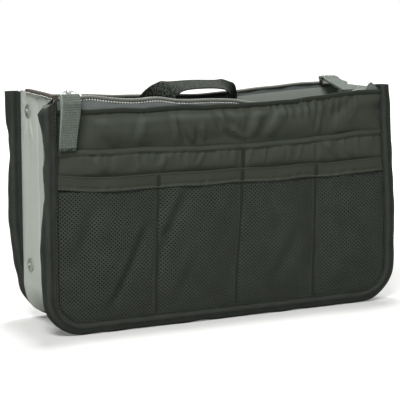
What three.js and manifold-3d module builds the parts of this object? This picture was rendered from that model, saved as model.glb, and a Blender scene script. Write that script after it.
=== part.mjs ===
// Purse organizer insert: two pocketed fabric walls, each with a zip along its top,
// joined by folding end gussets and a folding base. Millimetres, +Z up, the front wall faces -Y.
import * as THREE from 'three';
import { mergeVertices } from 'three/addons/utils/BufferGeometryUtils.js';
import Module from 'manifold-3d';

// Walls
const wallLength = 300;
const bindingHeight = 172;
const cornerRadius = 30;
const shellStep = 8.5;
const shellRise = 4.5;
const liningStep = 1.5;

// Cloth and tape thicknesses, and the gaps between plies
const liningThick = 0.8;
const stiffenerThick = 1.4;
const shellThick = 0.7;
const pocketThick = 0.7;
const hemThick = 1.2;
const hemEdge = 0.3;
const bindingThick = 0.7;
const plyGap = 0.3;
const zipPocketGap = 0.4;

// Binding tape folded round the sides and the bottom of each wall
const bindingWidth = 10.5;
const seamGap = 0.3;

// Gussets and base: each half turns at the wall and meets the other half at a crease
const gussetHalf = 30;
const gussetThick = 1;
const gussetStep = 0.5;
const rootGap = 0.5;
const creaseGap = 0.3;

// Pockets on the outside of each wall
const slipHeight = 135;
const slipHemWidth = 3.6;
const lowPocketStep = 20;
const lowHemWidth = 10.6;
const pocketSeams = [-60, 11, 77];
const seamWidth = 4;
const netPitch = 13;
const netStrand = 1.6;
const netMargin = 1.5;

// Zip along the top of each wall, which sags between its ends
const zipStartInset = 12.5;
const zipEndInset = 19;
const zipStartRise = 0.5;
const zipEndRise = 1.5;
const zipSag = 5;
const chainWidth = 4;
const chainThick = 2.2;
const toothPitch = 5;
const toothDepth = 0.8;
const zipTapeThick = 0.6;
const zipTapeDrop = 12;
const stopLength = 3;
const frontTailLength = 52;
const backTailLength = 15;
const tailWidth = 4.2;
const tailArch = 1.6;

// Slider, and the ring and webbing tab that pull it
const sliderLength = 10;
const sliderPlate = 1.3;
const sliderFlange = 0.8;
const sliderCorner = 1.5;
const sliderClear = 0.4;
const crownLength = 3;
const crownWall = 1;
const eyeRadius = 1.2;
const ringWire = 1.1;
const ringReach = 6;
const tabWidth = 14.4;
const tabLength = 38;
const tabThick = 0.9;
const tabClear = 0.3;

// Webbing handles sewn to the linings
const strapWidth = 22;
const strapThick = 1.2;
const handleSpan = 66;
const handleFootHeight = 16;
const handleStep = 4.5;
const handleRise = 19.5;
const handleLean = 16;
const handleTopSpan = 44;
const handleDrop = 36;
const handleGap = 0.8;

// Snap fasteners on the gussets
const snapRadius = 5.4;
const snapCapRadius = 4.6;
const snapPost = 1.8;
const snapStud = 1.9;
const snapCapThick = 0.6;
const snapRim = 1.2;
const snapGap = 0.2;
const snapFromRoot = 12;
const snapFromTop = 11.5;
const snapFromFoot = 14.2;

// Heights, each a step from its neighbour's
const shellHeight = bindingHeight - shellStep;
const liningHeight = shellHeight - liningStep;
const gussetHeight = bindingHeight - gussetStep;
const gussetLow = cornerRadius + seamGap;
const lowPocketHeight = slipHeight - lowPocketStep;
const handleHinge = liningHeight - handleStep;
const snapHeights = { upper: gussetHeight - snapFromTop, lower: gussetLow + snapFromFoot };
const zipStartHeight = bindingHeight + zipStartRise;
const zipEndHeight = shellHeight + shellRise + zipEndRise;

// Ends of the zip, and the slider parked with its ring just clear of the zip's tail
const zipStart = zipStartInset - wallLength / 2;
const zipEnd = wallLength / 2 - zipEndInset;
const ringHalf = tabWidth / 2 + tabClear + ringWire;
const sliderX = zipStart + ringHalf + seamGap;

// Depths from the inner face of a lining, counted outwards
const stiffenerIn = liningThick + zipPocketGap;
const shellIn = stiffenerIn + stiffenerThick + plyGap;
const slipIn = shellIn + shellThick + plyGap;
const lowIn = slipIn + pocketThick + plyGap;
const bindingIn = -plyGap - bindingThick;
const bindingOut = shellIn + shellThick + plyGap + bindingThick;
const chainMiddle = (liningThick + shellIn) / 2;
const liningY = gussetHalf + rootGap;

// The board ends below the zip tapes
const zipTapeLow = liningHeight - zipTapeDrop;
const stiffenerHeight = zipTapeLow - seamGap;

// Gussets and base run just inside the binding
const panelInset = bindingWidth + seamGap;
const gussetOuterX = wallLength / 2 - panelInset;
const gussetRootX = gussetOuterX - gussetThick;
const baseHalfLength = gussetRootX - gussetHalf - seamGap;

const shellCloth = new THREE.MeshStandardMaterial({ color: 0x34373a, roughness: 0.75, metalness: 0 });
const bindingTape = new THREE.MeshStandardMaterial({ color: 0x26282a, roughness: 0.85, metalness: 0 });
const netCloth = new THREE.MeshStandardMaterial({ color: 0x3a4040, roughness: 0.8, metalness: 0 });
const liningCloth = new THREE.MeshStandardMaterial({ color: 0xadb2aa, roughness: 0.8, metalness: 0 });
const board = new THREE.MeshStandardMaterial({ color: 0xd8d8d2, roughness: 0.9, metalness: 0 });
const webbing = new THREE.MeshStandardMaterial({ color: 0x6b6f69, roughness: 0.85, metalness: 0 });
const zipTape = new THREE.MeshStandardMaterial({ color: 0x646b6b, roughness: 0.85, metalness: 0 });
const zipTeeth = new THREE.MeshStandardMaterial({ color: 0x8b8f8c, roughness: 0.5, metalness: 0 });
const steel = new THREE.MeshStandardMaterial({ color: 0xc4c6c8, roughness: 0.3, metalness: 1 });

const wasm = await Module();
wasm.setup();

function piece(name, geometry, material) {
  const mesh = new THREE.Mesh(geometry, material.clone());
  mesh.name = name;
  return mesh;
}

function toSolid(geometry) {
  const bare = geometry.clone();
  bare.deleteAttribute('normal');
  bare.deleteAttribute('uv');
  const merged = mergeVertices(bare, 1e-4);
  const vertProperties = new Float32Array(merged.attributes.position.array);
  const triVerts = new Uint32Array(merged.index.array);
  return new wasm.Manifold(new wasm.Mesh({ numProp: 3, vertProperties, triVerts }));
}

function toGeometry(solid) {
  const { vertProperties, triVerts } = solid.getMesh();
  const geometry = new THREE.BufferGeometry();
  geometry.setAttribute('position', new THREE.BufferAttribute(vertProperties, 3));
  geometry.setIndex(new THREE.BufferAttribute(triVerts, 1));
  return geometry;
}

// A shape drawn across the wall (x, z), given a thickness outwards from the depth "inner"
function slab(shape, inner, thick, bevel = 0) {
  const options = { depth: thick - 2 * bevel, bevelEnabled: bevel > 0, curveSegments: 8 };
  if (bevel > 0) {
    const edge = { bevelSize: bevel, bevelThickness: bevel, bevelOffset: -bevel, bevelSegments: 2 };
    Object.assign(options, edge);
  }
  const geometry = new THREE.ExtrudeGeometry(shape, options);
  geometry.rotateX(Math.PI / 2);
  return geometry.translate(0, -inner - bevel, 0);
}

// A shape drawn in (y, z), given a thickness along +X from the place "start"
function crossSlab(shape, start, thick) {
  const geometry = new THREE.ExtrudeGeometry(shape, { depth: thick, bevelEnabled: false, curveSegments: 8 });
  geometry.rotateX(Math.PI / 2);
  geometry.rotateZ(Math.PI / 2);
  return geometry.translate(start, 0, 0);
}

function rectangle(left, low, right, high) {
  const shape = new THREE.Shape();
  shape.moveTo(left, low);
  shape.lineTo(right, low);
  shape.lineTo(right, high);
  shape.lineTo(left, high);
  shape.closePath();
  return shape;
}

function level(height) {
  return () => height;
}

// Outline of a wall, drawn in from its edge by "inset", with its top along topLine(x)
function panelShape(inset, topLine, steps = 1) {
  const half = wallLength / 2 - inset;
  const radius = cornerRadius - inset;
  const shape = new THREE.Shape();
  shape.moveTo(-half, topLine(-half));
  shape.lineTo(-half, inset + radius);
  shape.absarc(radius - half, inset + radius, radius, Math.PI, 1.5 * Math.PI, false);
  shape.lineTo(half - radius, inset);
  shape.absarc(half - radius, inset + radius, radius, 1.5 * Math.PI, 2 * Math.PI, false);
  for (let i = 0; i < steps; i += 1) {
    const x = half - (2 * half * i) / steps;
    shape.lineTo(x, topLine(x));
  }
  shape.closePath();
  return shape;
}

// Top of the nylon face, which climbs towards the far end of the zip
function shellTop(x) {
  return shellHeight + shellRise * THREE.MathUtils.smoothstep(x, 0, wallLength / 2);
}

// Height of the middle of the zip's chain
function zipHeight(x) {
  const share = (x - zipStart) / (zipEnd - zipStart);
  const straight = THREE.MathUtils.lerp(zipStartHeight, zipEndHeight, share);
  return straight - zipSag * Math.sin(Math.PI * share) ** 2;
}

function bindingGeometry() {
  const past = level(bindingHeight + bindingWidth);
  const depth = bindingOut - bindingIn;
  const block = toSolid(slab(panelShape(0, level(bindingHeight)), bindingIn, depth, bindingThick / 2));
  const middle = toSolid(slab(panelShape(bindingWidth, past), bindingIn - seamGap, depth + 2 * seamGap));
  const slotDepth = depth - 2 * bindingThick;
  const slot = toSolid(slab(panelShape(bindingThick, past), bindingIn + bindingThick, slotDepth));
  return toGeometry(block.subtract(middle).subtract(slot));
}

// Net of the low pocket: whole diamond gaps between the seams and the edges
function netShape(height) {
  const shape = panelShape(panelInset, level(height));
  const half = wallLength / 2 - panelInset;
  const radius = cornerRadius - panelInset;
  const reach = (netPitch - netStrand * Math.SQRT2) / 2;
  const edges = [-half, ...pocketSeams, half];
  for (let bay = 0; bay + 1 < edges.length; bay += 1) {
    const left = edges[bay] + (bay > 0 ? seamWidth / 2 : netMargin);
    const right = edges[bay + 1] - (bay + 2 < edges.length ? seamWidth / 2 : netMargin);
    const low = panelInset + netMargin;
    const columns = Math.floor((right - left) / netPitch);
    const rows = Math.floor((height - netMargin - low) / netPitch);
    const stepX = (right - left) / columns;
    const stepZ = (height - netMargin - low) / rows;
    for (let row = 0; row < 2 * rows - 1; row += 1) {
      const odd = row % 2;
      for (let column = 0; column < columns - odd; column += 1) {
        const x = left + stepX * (column + 0.5 + odd / 2);
        const z = low + (stepZ * (row + 1)) / 2;
        const cornerX = Math.max(0, Math.abs(x) + reach - (half - radius));
        const cornerZ = Math.max(0, panelInset + radius - (z - reach));
        if (Math.hypot(cornerX, cornerZ) > radius) continue;
        const gap = new THREE.Path();
        gap.moveTo(x - reach, z);
        gap.lineTo(x, z - reach);
        gap.lineTo(x + reach, z);
        gap.lineTo(x, z + reach);
        gap.closePath();
        shape.holes.push(gap);
      }
    }
  }
  return shape;
}

// Zip tape: a strip from below the edge of the wall up to the chain
function zipTapeShape() {
  const shape = new THREE.Shape();
  const steps = 24;
  shape.moveTo(zipStart, zipTapeLow);
  shape.lineTo(zipEnd, zipTapeLow);
  for (let i = 0; i <= steps; i += 1) {
    const x = THREE.MathUtils.lerp(zipEnd, zipStart, i / steps);
    shape.lineTo(x, zipHeight(x) - chainThick / 2 - seamGap);
  }
  shape.closePath();
  return shape;
}

// Zip chain: a strip with a row of teeth along its top
function zipChainShape() {
  const shape = new THREE.Shape();
  const teeth = Math.round((zipEnd - zipStart) / toothPitch);
  const pitch = (zipEnd - zipStart) / teeth;
  shape.moveTo(zipStart, zipHeight(zipStart) - chainThick / 2);
  for (let i = 2; i <= teeth; i += 2) {
    const x = zipStart + pitch * i;
    shape.lineTo(x, zipHeight(x) - chainThick / 2);
  }
  shape.lineTo(zipEnd, zipHeight(zipEnd) - chainThick / 2);
  for (let i = teeth - 1; i >= 0; i -= 1) {
    const x = zipStart + pitch * i;
    const top = zipHeight(x + pitch / 2) + chainThick / 2;
    shape.lineTo(x + 0.95 * pitch, top - toothDepth);
    shape.lineTo(x + 0.75 * pitch, top);
    shape.lineTo(x + 0.25 * pitch, top);
    shape.lineTo(x + 0.05 * pitch, top - toothDepth);
  }
  shape.closePath();
  return shape;
}

// Loose end of the zip, bent over the top of the gusset
function tailGeometry(length) {
  const start = -chainMiddle - chainWidth / 2;
  const low = bindingHeight + 2 * seamGap;
  const steps = 8;
  const under = [];
  for (let i = 0; i <= steps; i += 1) {
    const rise = tailArch * Math.sin((Math.PI * i) / steps);
    under.push(new THREE.Vector2(start + (length * i) / steps, low + rise));
  }
  const over = under.map((point) => new THREE.Vector2(point.x, point.y + chainThick));
  const shape = new THREE.Shape([...under, ...over.reverse()]);
  return crossSlab(shape, zipStart - seamGap - tailWidth, tailWidth);
}

// Slider, drawn about the middle of the chain: a plate, two flanges and a crown with an eye along X
const sliderHalfWidth = chainWidth / 2 + sliderClear + sliderFlange;
const plateLow = chainThick / 2 + sliderClear;
const eyeHeight = plateLow + sliderPlate + eyeRadius + seamGap;
function sliderGeometry() {
  const corner = sliderCorner;
  const end = sliderLength / 2;
  const plan = new THREE.Shape();
  plan.moveTo(-end, -sliderHalfWidth + corner);
  plan.lineTo(corner - end, -sliderHalfWidth);
  plan.lineTo(end - corner, -sliderHalfWidth);
  plan.lineTo(end, -sliderHalfWidth + corner);
  plan.lineTo(end, sliderHalfWidth - corner);
  plan.lineTo(end - corner, sliderHalfWidth);
  plan.lineTo(corner - end, sliderHalfWidth);
  plan.lineTo(-end, sliderHalfWidth - corner);
  plan.closePath();
  const plate = new THREE.ExtrudeGeometry(plan, { depth: sliderPlate, bevelEnabled: false });
  plate.translate(0, 0, plateLow);
  let solid = toSolid(plate);
  const flangeHeight = plateLow + sliderPlate / 2 + chainThick / 2 + sliderClear;
  for (const side of [-1, 1]) {
    const flange = new THREE.BoxGeometry(sliderLength - 2 * corner, sliderFlange, flangeHeight);
    const middle = plateLow + sliderPlate / 2 - flangeHeight / 2;
    flange.translate(0, side * (sliderHalfWidth - sliderFlange / 2), middle);
    solid = solid.add(toSolid(flange));
  }
  const outer = eyeRadius + crownWall;
  const crown = new THREE.Shape();
  crown.moveTo(outer, plateLow + sliderPlate / 2);
  crown.lineTo(outer, eyeHeight);
  crown.absarc(0, eyeHeight, outer, 0, Math.PI, false);
  crown.lineTo(-outer, plateLow + sliderPlate / 2);
  crown.closePath();
  const eye = new THREE.Path();
  eye.absarc(0, eyeHeight, eyeRadius, 0, 2 * Math.PI, true);
  crown.holes.push(eye);
  return toGeometry(solid.add(toSolid(crossSlab(crown, -crownLength / 2, crownLength))));
}

// Ring through the slider's eye: its near bar lies along X at the origin, the far bar at +Y
function ringGeometry() {
  const shape = rectangle(-ringHalf, -ringWire / 2, ringHalf, ringReach + ringWire / 2);
  const gap = new THREE.Path();
  gap.moveTo(ringWire - ringHalf, ringWire / 2);
  gap.lineTo(ringWire - ringHalf, ringReach - ringWire / 2);
  gap.lineTo(ringHalf - ringWire, ringReach - ringWire / 2);
  gap.lineTo(ringHalf - ringWire, ringWire / 2);
  gap.closePath();
  shape.holes.push(gap);
  const geometry = new THREE.ExtrudeGeometry(shape, { depth: ringWire, bevelEnabled: false });
  return geometry.translate(0, 0, -ringWire / 2);
}

// Webbing tab, folded round the ring's far bar at the origin and sewn together, running along +Y
const loopInner = (ringWire / 2) * Math.SQRT2 + tabClear;
const loopOuter = loopInner + tabThick;
function tabGeometry() {
  const flat = tabThick;
  const shape = new THREE.Shape();
  shape.moveTo(0, -loopOuter);
  shape.lineTo(3 * loopOuter, -flat);
  shape.lineTo(tabLength, -flat);
  shape.lineTo(tabLength, flat);
  shape.lineTo(3 * loopOuter, flat);
  shape.lineTo(0, loopOuter);
  shape.absarc(0, 0, loopOuter, Math.PI / 2, 1.5 * Math.PI, false);
  const hole = new THREE.Path();
  hole.moveTo(2 * loopOuter, 0);
  hole.lineTo(0, -loopInner);
  hole.absarc(0, 0, loopInner, 1.5 * Math.PI, Math.PI / 2, true);
  hole.closePath();
  shape.holes.push(hole);
  return crossSlab(shape, -tabWidth / 2, tabWidth);
}

// Flat strap carried along a curve: its width stays level, along the wall at the feet and inwards on top
function standingHandleGeometry() {
  const foot = handleSpan / 2;
  const top = handleTopSpan / 2;
  const low = handleHinge + handleGap;
  const high = handleHinge + handleRise;
  const half = [
    [foot, 0, low],
    [foot, 0.25 * handleLean, low + 0.25 * handleRise],
    [foot - 1, 0.6 * handleLean, low + 0.55 * handleRise],
    [0.5 * (foot + top), 0.9 * handleLean, high - 0.16 * handleRise],
    [top - 3, handleLean, high - 0.02 * handleRise],
  ];
  const mirrored = half.map(([x, y, z]) => [-x, y, z]);
  const places = [...mirrored, [0, handleLean, high], ...half.reverse()];
  const curve = new THREE.CatmullRomCurve3(places.map((place) => new THREE.Vector3(...place)));
  const steps = 28;
  const positions = [];
  const indices = [];
  for (let i = 0; i <= steps; i += 1) {
    const share = i / steps;
    const point = curve.getPoint(share);
    const along = curve.getTangent(share);
    const width = new THREE.Vector3(-along.y, along.x, 0).normalize();
    const normal = new THREE.Vector3().crossVectors(along, width);
    for (const [across, through] of [[-1, -1], [1, -1], [1, 1], [-1, 1]]) {
      const corner = point.clone();
      corner.addScaledVector(width, (across * strapWidth) / 2);
      corner.addScaledVector(normal, (through * strapThick) / 2);
      positions.push(corner.x, corner.y, corner.z);
    }
    for (let k = 0; k < 4 && i < steps; k += 1) {
      const a = 4 * i + k;
      const b = 4 * i + ((k + 1) % 4);
      indices.push(a, b, b + 4, a, b + 4, a + 4);
    }
  }
  const last = 4 * steps;
  indices.push(0, 2, 1, 0, 3, 2, last, last + 1, last + 2, last, last + 2, last + 3);
  const geometry = new THREE.BufferGeometry();
  geometry.setAttribute('position', new THREE.Float32BufferAttribute(positions, 3));
  geometry.setIndex(indices);
  return geometry;
}

// The same strap hanging down inside the wall as a flat loop
function hangingHandleShape() {
  const outer = (handleSpan + strapWidth) / 2;
  const inner = (handleSpan - strapWidth) / 2;
  const high = handleHinge + handleGap;
  const low = handleHinge - handleDrop;
  const round = strapWidth / 2;
  const shape = new THREE.Shape();
  shape.moveTo(-outer, high);
  shape.lineTo(-outer, low + round);
  shape.absarc(round - outer, low + round, round, Math.PI, 1.5 * Math.PI, false);
  shape.lineTo(outer - round, low);
  shape.absarc(outer - round, low + round, round, 1.5 * Math.PI, 2 * Math.PI, false);
  shape.lineTo(outer, high);
  shape.lineTo(inner, high);
  shape.lineTo(inner, low + strapWidth);
  shape.lineTo(-inner, low + strapWidth);
  shape.lineTo(-inner, high);
  shape.closePath();
  return shape;
}

// One wall in its own frame: x along the wall, -y outwards, y = 0 on the lining's inner face
function makeWall(name, look) {
  const wall = new THREE.Group();
  const innerEdge = wallLength / 2 - panelInset;
  const shell = slab(panelShape(bindingThick + plyGap, shellTop, 16), shellIn, shellThick);
  wall.add(piece(`${name}_shell`, shell, shellCloth));
  const boardShape = panelShape(panelInset, level(stiffenerHeight));
  wall.add(piece(`${name}_stiffener`, slab(boardShape, stiffenerIn, stiffenerThick), board));
  const lining = slab(panelShape(bindingThick + plyGap, level(liningHeight)), 0, liningThick);
  wall.add(piece(`${name}_lining`, lining, liningCloth));
  wall.add(piece(`${name}_binding`, bindingGeometry(), bindingTape));

  const slipTop = slipHeight - slipHemWidth - seamGap;
  const slip = slab(panelShape(panelInset, level(slipTop)), slipIn, pocketThick);
  wall.add(piece(`${name}_slip_pocket`, slip, shellCloth));
  const slipBand = rectangle(-innerEdge, slipHeight - slipHemWidth, innerEdge, slipHeight);
  wall.add(piece(`${name}_slip_hem`, slab(slipBand, slipIn, hemThick, hemEdge), shellCloth));
  const lowTop = lowPocketHeight - lowHemWidth - seamGap;
  const lowShape = look.net ? netShape(lowTop) : panelShape(panelInset, level(lowTop));
  const lowCloth = look.net ? netCloth : shellCloth;
  wall.add(piece(`${name}_low_pocket`, slab(lowShape, lowIn, pocketThick), lowCloth));
  const lowBand = rectangle(-innerEdge, lowPocketHeight - lowHemWidth, innerEdge, lowPocketHeight);
  wall.add(piece(`${name}_low_hem`, slab(lowBand, lowIn, hemThick, hemEdge), lowCloth));

  const outerTapeIn = shellIn - plyGap - zipTapeThick;
  wall.add(piece(`${name}_zip_outer_tape`, slab(zipTapeShape(), outerTapeIn, zipTapeThick), zipTape));
  const innerTapeIn = liningThick + plyGap;
  wall.add(piece(`${name}_zip_inner_tape`, slab(zipTapeShape(), innerTapeIn, zipTapeThick), zipTape));
  const chain = slab(zipChainShape(), chainMiddle - chainWidth / 2, chainWidth);
  wall.add(piece(`${name}_zip_chain`, chain, zipTeeth));
  const stop = new THREE.BoxGeometry(stopLength, chainWidth, chainThick);
  stop.translate(zipEnd + seamGap + stopLength / 2, -chainMiddle, zipEndHeight);
  wall.add(piece(`${name}_zip_stop`, stop, steel));
  wall.add(piece(`${name}_zip_tail`, tailGeometry(look.tailLength), zipTeeth));

  const slider = piece(`${name}_zip_slider`, sliderGeometry(), steel);
  slider.position.set(sliderX, -chainMiddle, zipStartHeight);
  wall.add(slider);
  const ring = piece(`${name}_zip_ring`, ringGeometry(), steel);
  ring.position.set(sliderX, -chainMiddle, zipStartHeight + eyeHeight);
  ring.rotation.x = look.ringTurn;
  wall.add(ring);
  const tab = piece(`${name}_zip_tab`, tabGeometry(), webbing);
  tab.position.copy(ring.position);
  tab.position.y += ringReach * Math.cos(look.ringTurn);
  tab.position.z += ringReach * Math.sin(look.ringTurn);
  tab.rotation.x = look.tabTurn;
  wall.add(tab);

  const footIn = -plyGap - strapThick;
  for (const side of ['left', 'right']) {
    const middle = (side === 'left' ? -0.5 : 0.5) * handleSpan;
    const edges = [middle - strapWidth / 2, middle + strapWidth / 2];
    const foot = rectangle(edges[0], handleHinge - handleFootHeight, edges[1], handleHinge);
    wall.add(piece(`${name}_handle_${side}_foot`, slab(foot, footIn, strapThick), webbing));
  }
  if (look.standingHandle) {
    const strap = piece(`${name}_handle`, standingHandleGeometry(), webbing);
    strap.position.y = plyGap + strapThick / 2;
    wall.add(strap);
  } else {
    const hanging = slab(hangingHandleShape(), footIn - rootGap - strapThick, strapThick);
    wall.add(piece(`${name}_handle`, hanging, webbing));
  }
  return wall;
}

// Half a gusset: a sheet from the wall to the crease with a hole for each snap
function gussetHalfGeometry(side) {
  const root = side * gussetHalf;
  const crease = (side * creaseGap) / 2;
  const shape = rectangle(Math.min(root, crease), gussetLow, Math.max(root, crease), gussetHeight);
  for (const height of Object.values(snapHeights)) {
    const hole = new THREE.Path();
    hole.absarc(side * (gussetHalf - snapFromRoot), height, snapPost + seamGap, 0, 2 * Math.PI, true);
    shape.holes.push(hole);
  }
  return crossSlab(shape, -gussetOuterX, gussetThick);
}

// Snap half, turned about its axis: an inner cap, a post through the gusset, and a socket or a stud
function snapGeometry(kind) {
  const capIn = -gussetThick - snapGap;
  const points = [
    [0, capIn - snapCapThick],
    [snapCapRadius, capIn - snapCapThick],
    [snapCapRadius, capIn],
    [snapPost, capIn],
    [snapPost, snapGap],
    [snapRadius, snapGap],
    [snapRadius, snapGap + 0.5 * snapRim],
    [snapRadius - snapRim / 2, snapGap + snapRim],
  ];
  if (kind === 'socket') {
    const mouth = snapStud + seamGap;
    points.push([mouth, snapGap + snapRim], [mouth, snapGap + 0.4 * snapRim], [0, snapGap + 0.4 * snapRim]);
  } else {
    points.push([snapStud, snapGap + snapRim], [0.9 * snapStud, snapGap + 1.6 * snapRim]);
    points.push([snapStud, snapGap + 2 * snapRim], [0.7 * snapStud, snapGap + 2.2 * snapRim]);
    points.push([0, snapGap + 2.2 * snapRim]);
  }
  return new THREE.LatheGeometry(points.map(([radius, height]) => new THREE.Vector2(radius, height)), 14);
}

// Rounded strip that joins the foot of a gusset to the end of the base
function cornerGeometry() {
  const middle = wallLength / 2 - cornerRadius;
  const outer = cornerRadius - panelInset;
  const inner = outer - gussetThick;
  const end = baseHalfLength + seamGap;
  const shape = new THREE.Shape();
  shape.moveTo(-end, panelInset);
  shape.lineTo(-middle, panelInset);
  shape.absarc(-middle, cornerRadius, outer, 1.5 * Math.PI, Math.PI, true);
  shape.lineTo(-middle - inner, cornerRadius);
  shape.absarc(-middle, cornerRadius, inner, Math.PI, 1.5 * Math.PI, false);
  shape.lineTo(-end, panelInset + gussetThick);
  shape.closePath();
  const half = gussetHalf - seamGap;
  return slab(shape, -half, 2 * half);
}

// One end in its own frame, drawn at -X: two gusset halves with their snaps, and the corner strip
function makeEnd(name, halves) {
  const end = new THREE.Group();
  for (const { label, side, kind } of halves) {
    end.add(piece(`${name}_gusset_${label}`, gussetHalfGeometry(side), liningCloth));
    for (const [place, height] of Object.entries(snapHeights)) {
      const snap = piece(`${name}_${label}_snap_${place}`, snapGeometry(kind), steel);
      snap.rotation.z = Math.PI / 2;
      snap.position.set(-gussetOuterX, side * (gussetHalf - snapFromRoot), height);
      end.add(snap);
    }
  }
  end.add(piece(`${name}_corner`, cornerGeometry(), liningCloth));
  return end;
}

function baseHalf(name, side) {
  const width = gussetHalf - creaseGap / 2;
  const geometry = new THREE.BoxGeometry(2 * baseHalfLength, width, gussetThick);
  geometry.translate(0, side * (gussetHalf - width / 2), panelInset + gussetThick / 2);
  return piece(name, geometry, liningCloth);
}

const degrees = THREE.MathUtils.degToRad;
const insert = new THREE.Group();

const frontWall = makeWall('front', {
  net: true,
  tailLength: frontTailLength,
  ringTurn: degrees(207),
  tabTurn: degrees(-90),
  standingHandle: false,
});
frontWall.position.y = -liningY;
insert.add(frontWall);

const backWall = makeWall('back', {
  net: false,
  tailLength: backTailLength,
  ringTurn: degrees(-5),
  tabTurn: degrees(-5),
  standingHandle: true,
});
backWall.position.y = liningY;
backWall.rotation.z = Math.PI;
insert.add(backWall);

insert.add(makeEnd('left', [
  { label: 'front', side: -1, kind: 'socket' },
  { label: 'back', side: 1, kind: 'stud' },
]));
const rightEnd = makeEnd('right', [
  { label: 'back', side: -1, kind: 'stud' },
  { label: 'front', side: 1, kind: 'socket' },
]);
rightEnd.rotation.z = Math.PI;
insert.add(rightEnd);

insert.add(baseHalf('base_front', -1));
insert.add(baseHalf('base_back', 1));

export default insert;
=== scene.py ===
"""Purse organizer insert: cloth, binding, net, zips, handles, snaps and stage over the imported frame."""
import math

import bpy
import numpy as np
from bpy.props import FloatProperty, FloatVectorProperty, PointerProperty
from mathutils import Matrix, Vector


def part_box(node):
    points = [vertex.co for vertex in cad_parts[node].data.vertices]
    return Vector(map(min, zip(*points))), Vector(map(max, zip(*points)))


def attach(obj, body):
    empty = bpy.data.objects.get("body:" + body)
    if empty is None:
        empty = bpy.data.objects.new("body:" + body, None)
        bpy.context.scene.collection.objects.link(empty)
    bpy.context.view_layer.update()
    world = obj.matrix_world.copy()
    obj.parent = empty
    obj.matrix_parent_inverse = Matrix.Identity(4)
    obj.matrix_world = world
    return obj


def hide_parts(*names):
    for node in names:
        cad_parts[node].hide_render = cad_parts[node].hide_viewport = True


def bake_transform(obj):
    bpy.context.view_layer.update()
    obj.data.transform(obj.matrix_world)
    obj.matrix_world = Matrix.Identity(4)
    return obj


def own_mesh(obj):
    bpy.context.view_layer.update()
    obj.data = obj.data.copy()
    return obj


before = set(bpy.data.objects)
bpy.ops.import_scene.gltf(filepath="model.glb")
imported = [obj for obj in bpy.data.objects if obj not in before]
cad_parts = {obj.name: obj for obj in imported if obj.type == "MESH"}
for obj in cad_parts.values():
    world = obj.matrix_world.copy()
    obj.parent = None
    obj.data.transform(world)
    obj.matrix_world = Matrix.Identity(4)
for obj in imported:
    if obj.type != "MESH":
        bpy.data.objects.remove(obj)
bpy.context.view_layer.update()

bl_info = {
    "name": "Purse Organizer Insert",
    "version": (1, 0, 0),
    "blender": (4, 5, 0),
    "location": "View3D > Sidebar > Insert",
    "description": "Builds the soft pieces and hardware of a purse organizer insert on its packed frame",
    "category": "Add Mesh",
}


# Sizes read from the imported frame, in millimetres

def span(node):
    """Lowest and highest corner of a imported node, in millimetres."""
    return [1000 * np.array(corner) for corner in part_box(node)]


def depth(node):
    """How far outwards a node of the back wall starts and ends, from the lining's inner face."""
    low, high = span("back_" + node)
    return low[1] - FACE, high[1] - FACE


FACE = span("back_lining")[0][1]
HALF, TOP = span("front_binding")[1][[0, 2]]
LINING_TOP = span("front_lining")[1][2]
SHELL_TOP = LINING_TOP + 1.5
SHELL_IN, SHELL_OUT = depth("shell")
SLIP_IN, SLIP_OUT = depth("slip_pocket")
SLIP_HEM, SLIP_TOP = (corner[2] for corner in span("front_slip_hem"))
LOW_OUT = depth("low_pocket")[1]
LOW_HEM, LOW_TOP = (corner[2] for corner in span("front_low_hem"))
BINDING_IN, BINDING_OUT = depth("binding")[0], LOW_OUT + 1.5
GUSSET, BASE = span("left_gusset_front"), span("base_front")
GUSSET_X, GUSSET_HALF = -GUSSET[0][0], -GUSSET[0][1]
CORNER = GUSSET[0][2] - 0.3
(ZIP_LEFT, _, TAPE_LOW), (ZIP_RIGHT, _, _) = span("front_zip_inner_tape")
CHAIN_OUT = sum(depth("zip_chain")) / 2
SLIDER_X = sum(corner[0] for corner in span("front_zip_slider")) / 2
ZIP_START, ZIP_END = TOP + 0.5, span("front_zip_stop")[0][2] + 1.1
EYE_Z = ZIP_START + 4.3
FOOT_LOW, HINGE = (corner[2] for corner in span("back_handle_left_foot"))

# Sizes set here, in millimetres, and angles in degrees above which an edge is shaded crisp

WALLS = ("front", "back")
BINDING_WIDTH = 10.0
SEAMS, SEAM_BENDS = (-60.0, 11.0, 77.0), (2.0, 5.0, 1.5)
SEAM_HALF, SLIP_SEAM = 2.2, 12.4
TAPE_THICK = 0.6
FLAP_LEFT, FLAP_RIGHT = 112, 138.5
EYE_RADIUS, RING_HALF, RING_REACH = 1.7, 8.05, 6
TAB_HALF, TAB_THICK, TAB_END, TAB_FIBRES = 7.5, 0.84, 36.5, 44
FOOT_X, STRAP_WIDTH, STRAP_THICK = 33.0, 22.8, 1.2
SNAPS, SNAP_ASIDE = (160.0, 44.5), 18.0
FOLD_ANGLE, METAL_ANGLE = 50, 40


# Properties

def length(name, text, value):
    """A length in metres from a value in millimetres."""
    return FloatProperty(name=name, description=text, default=value / 1000, min=0, unit="LENGTH", precision=4)


def colour(name, text, red, green, blue):
    """A colour given by its display values from 0 to 255."""
    return FloatVectorProperty(name=name, description=text, default=linear(red, green, blue),
                               subtype="COLOR", min=0, max=1)


def linear(*display):
    """Display values turned linear: a straight toe below 0.04, a power of 2.4 above it."""
    shares = [value / 255 for value in display]
    return tuple(s / 12.92 if s < 0.04045 else ((s + 0.055) / 1.055) ** 2.4 for s in shares)


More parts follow.
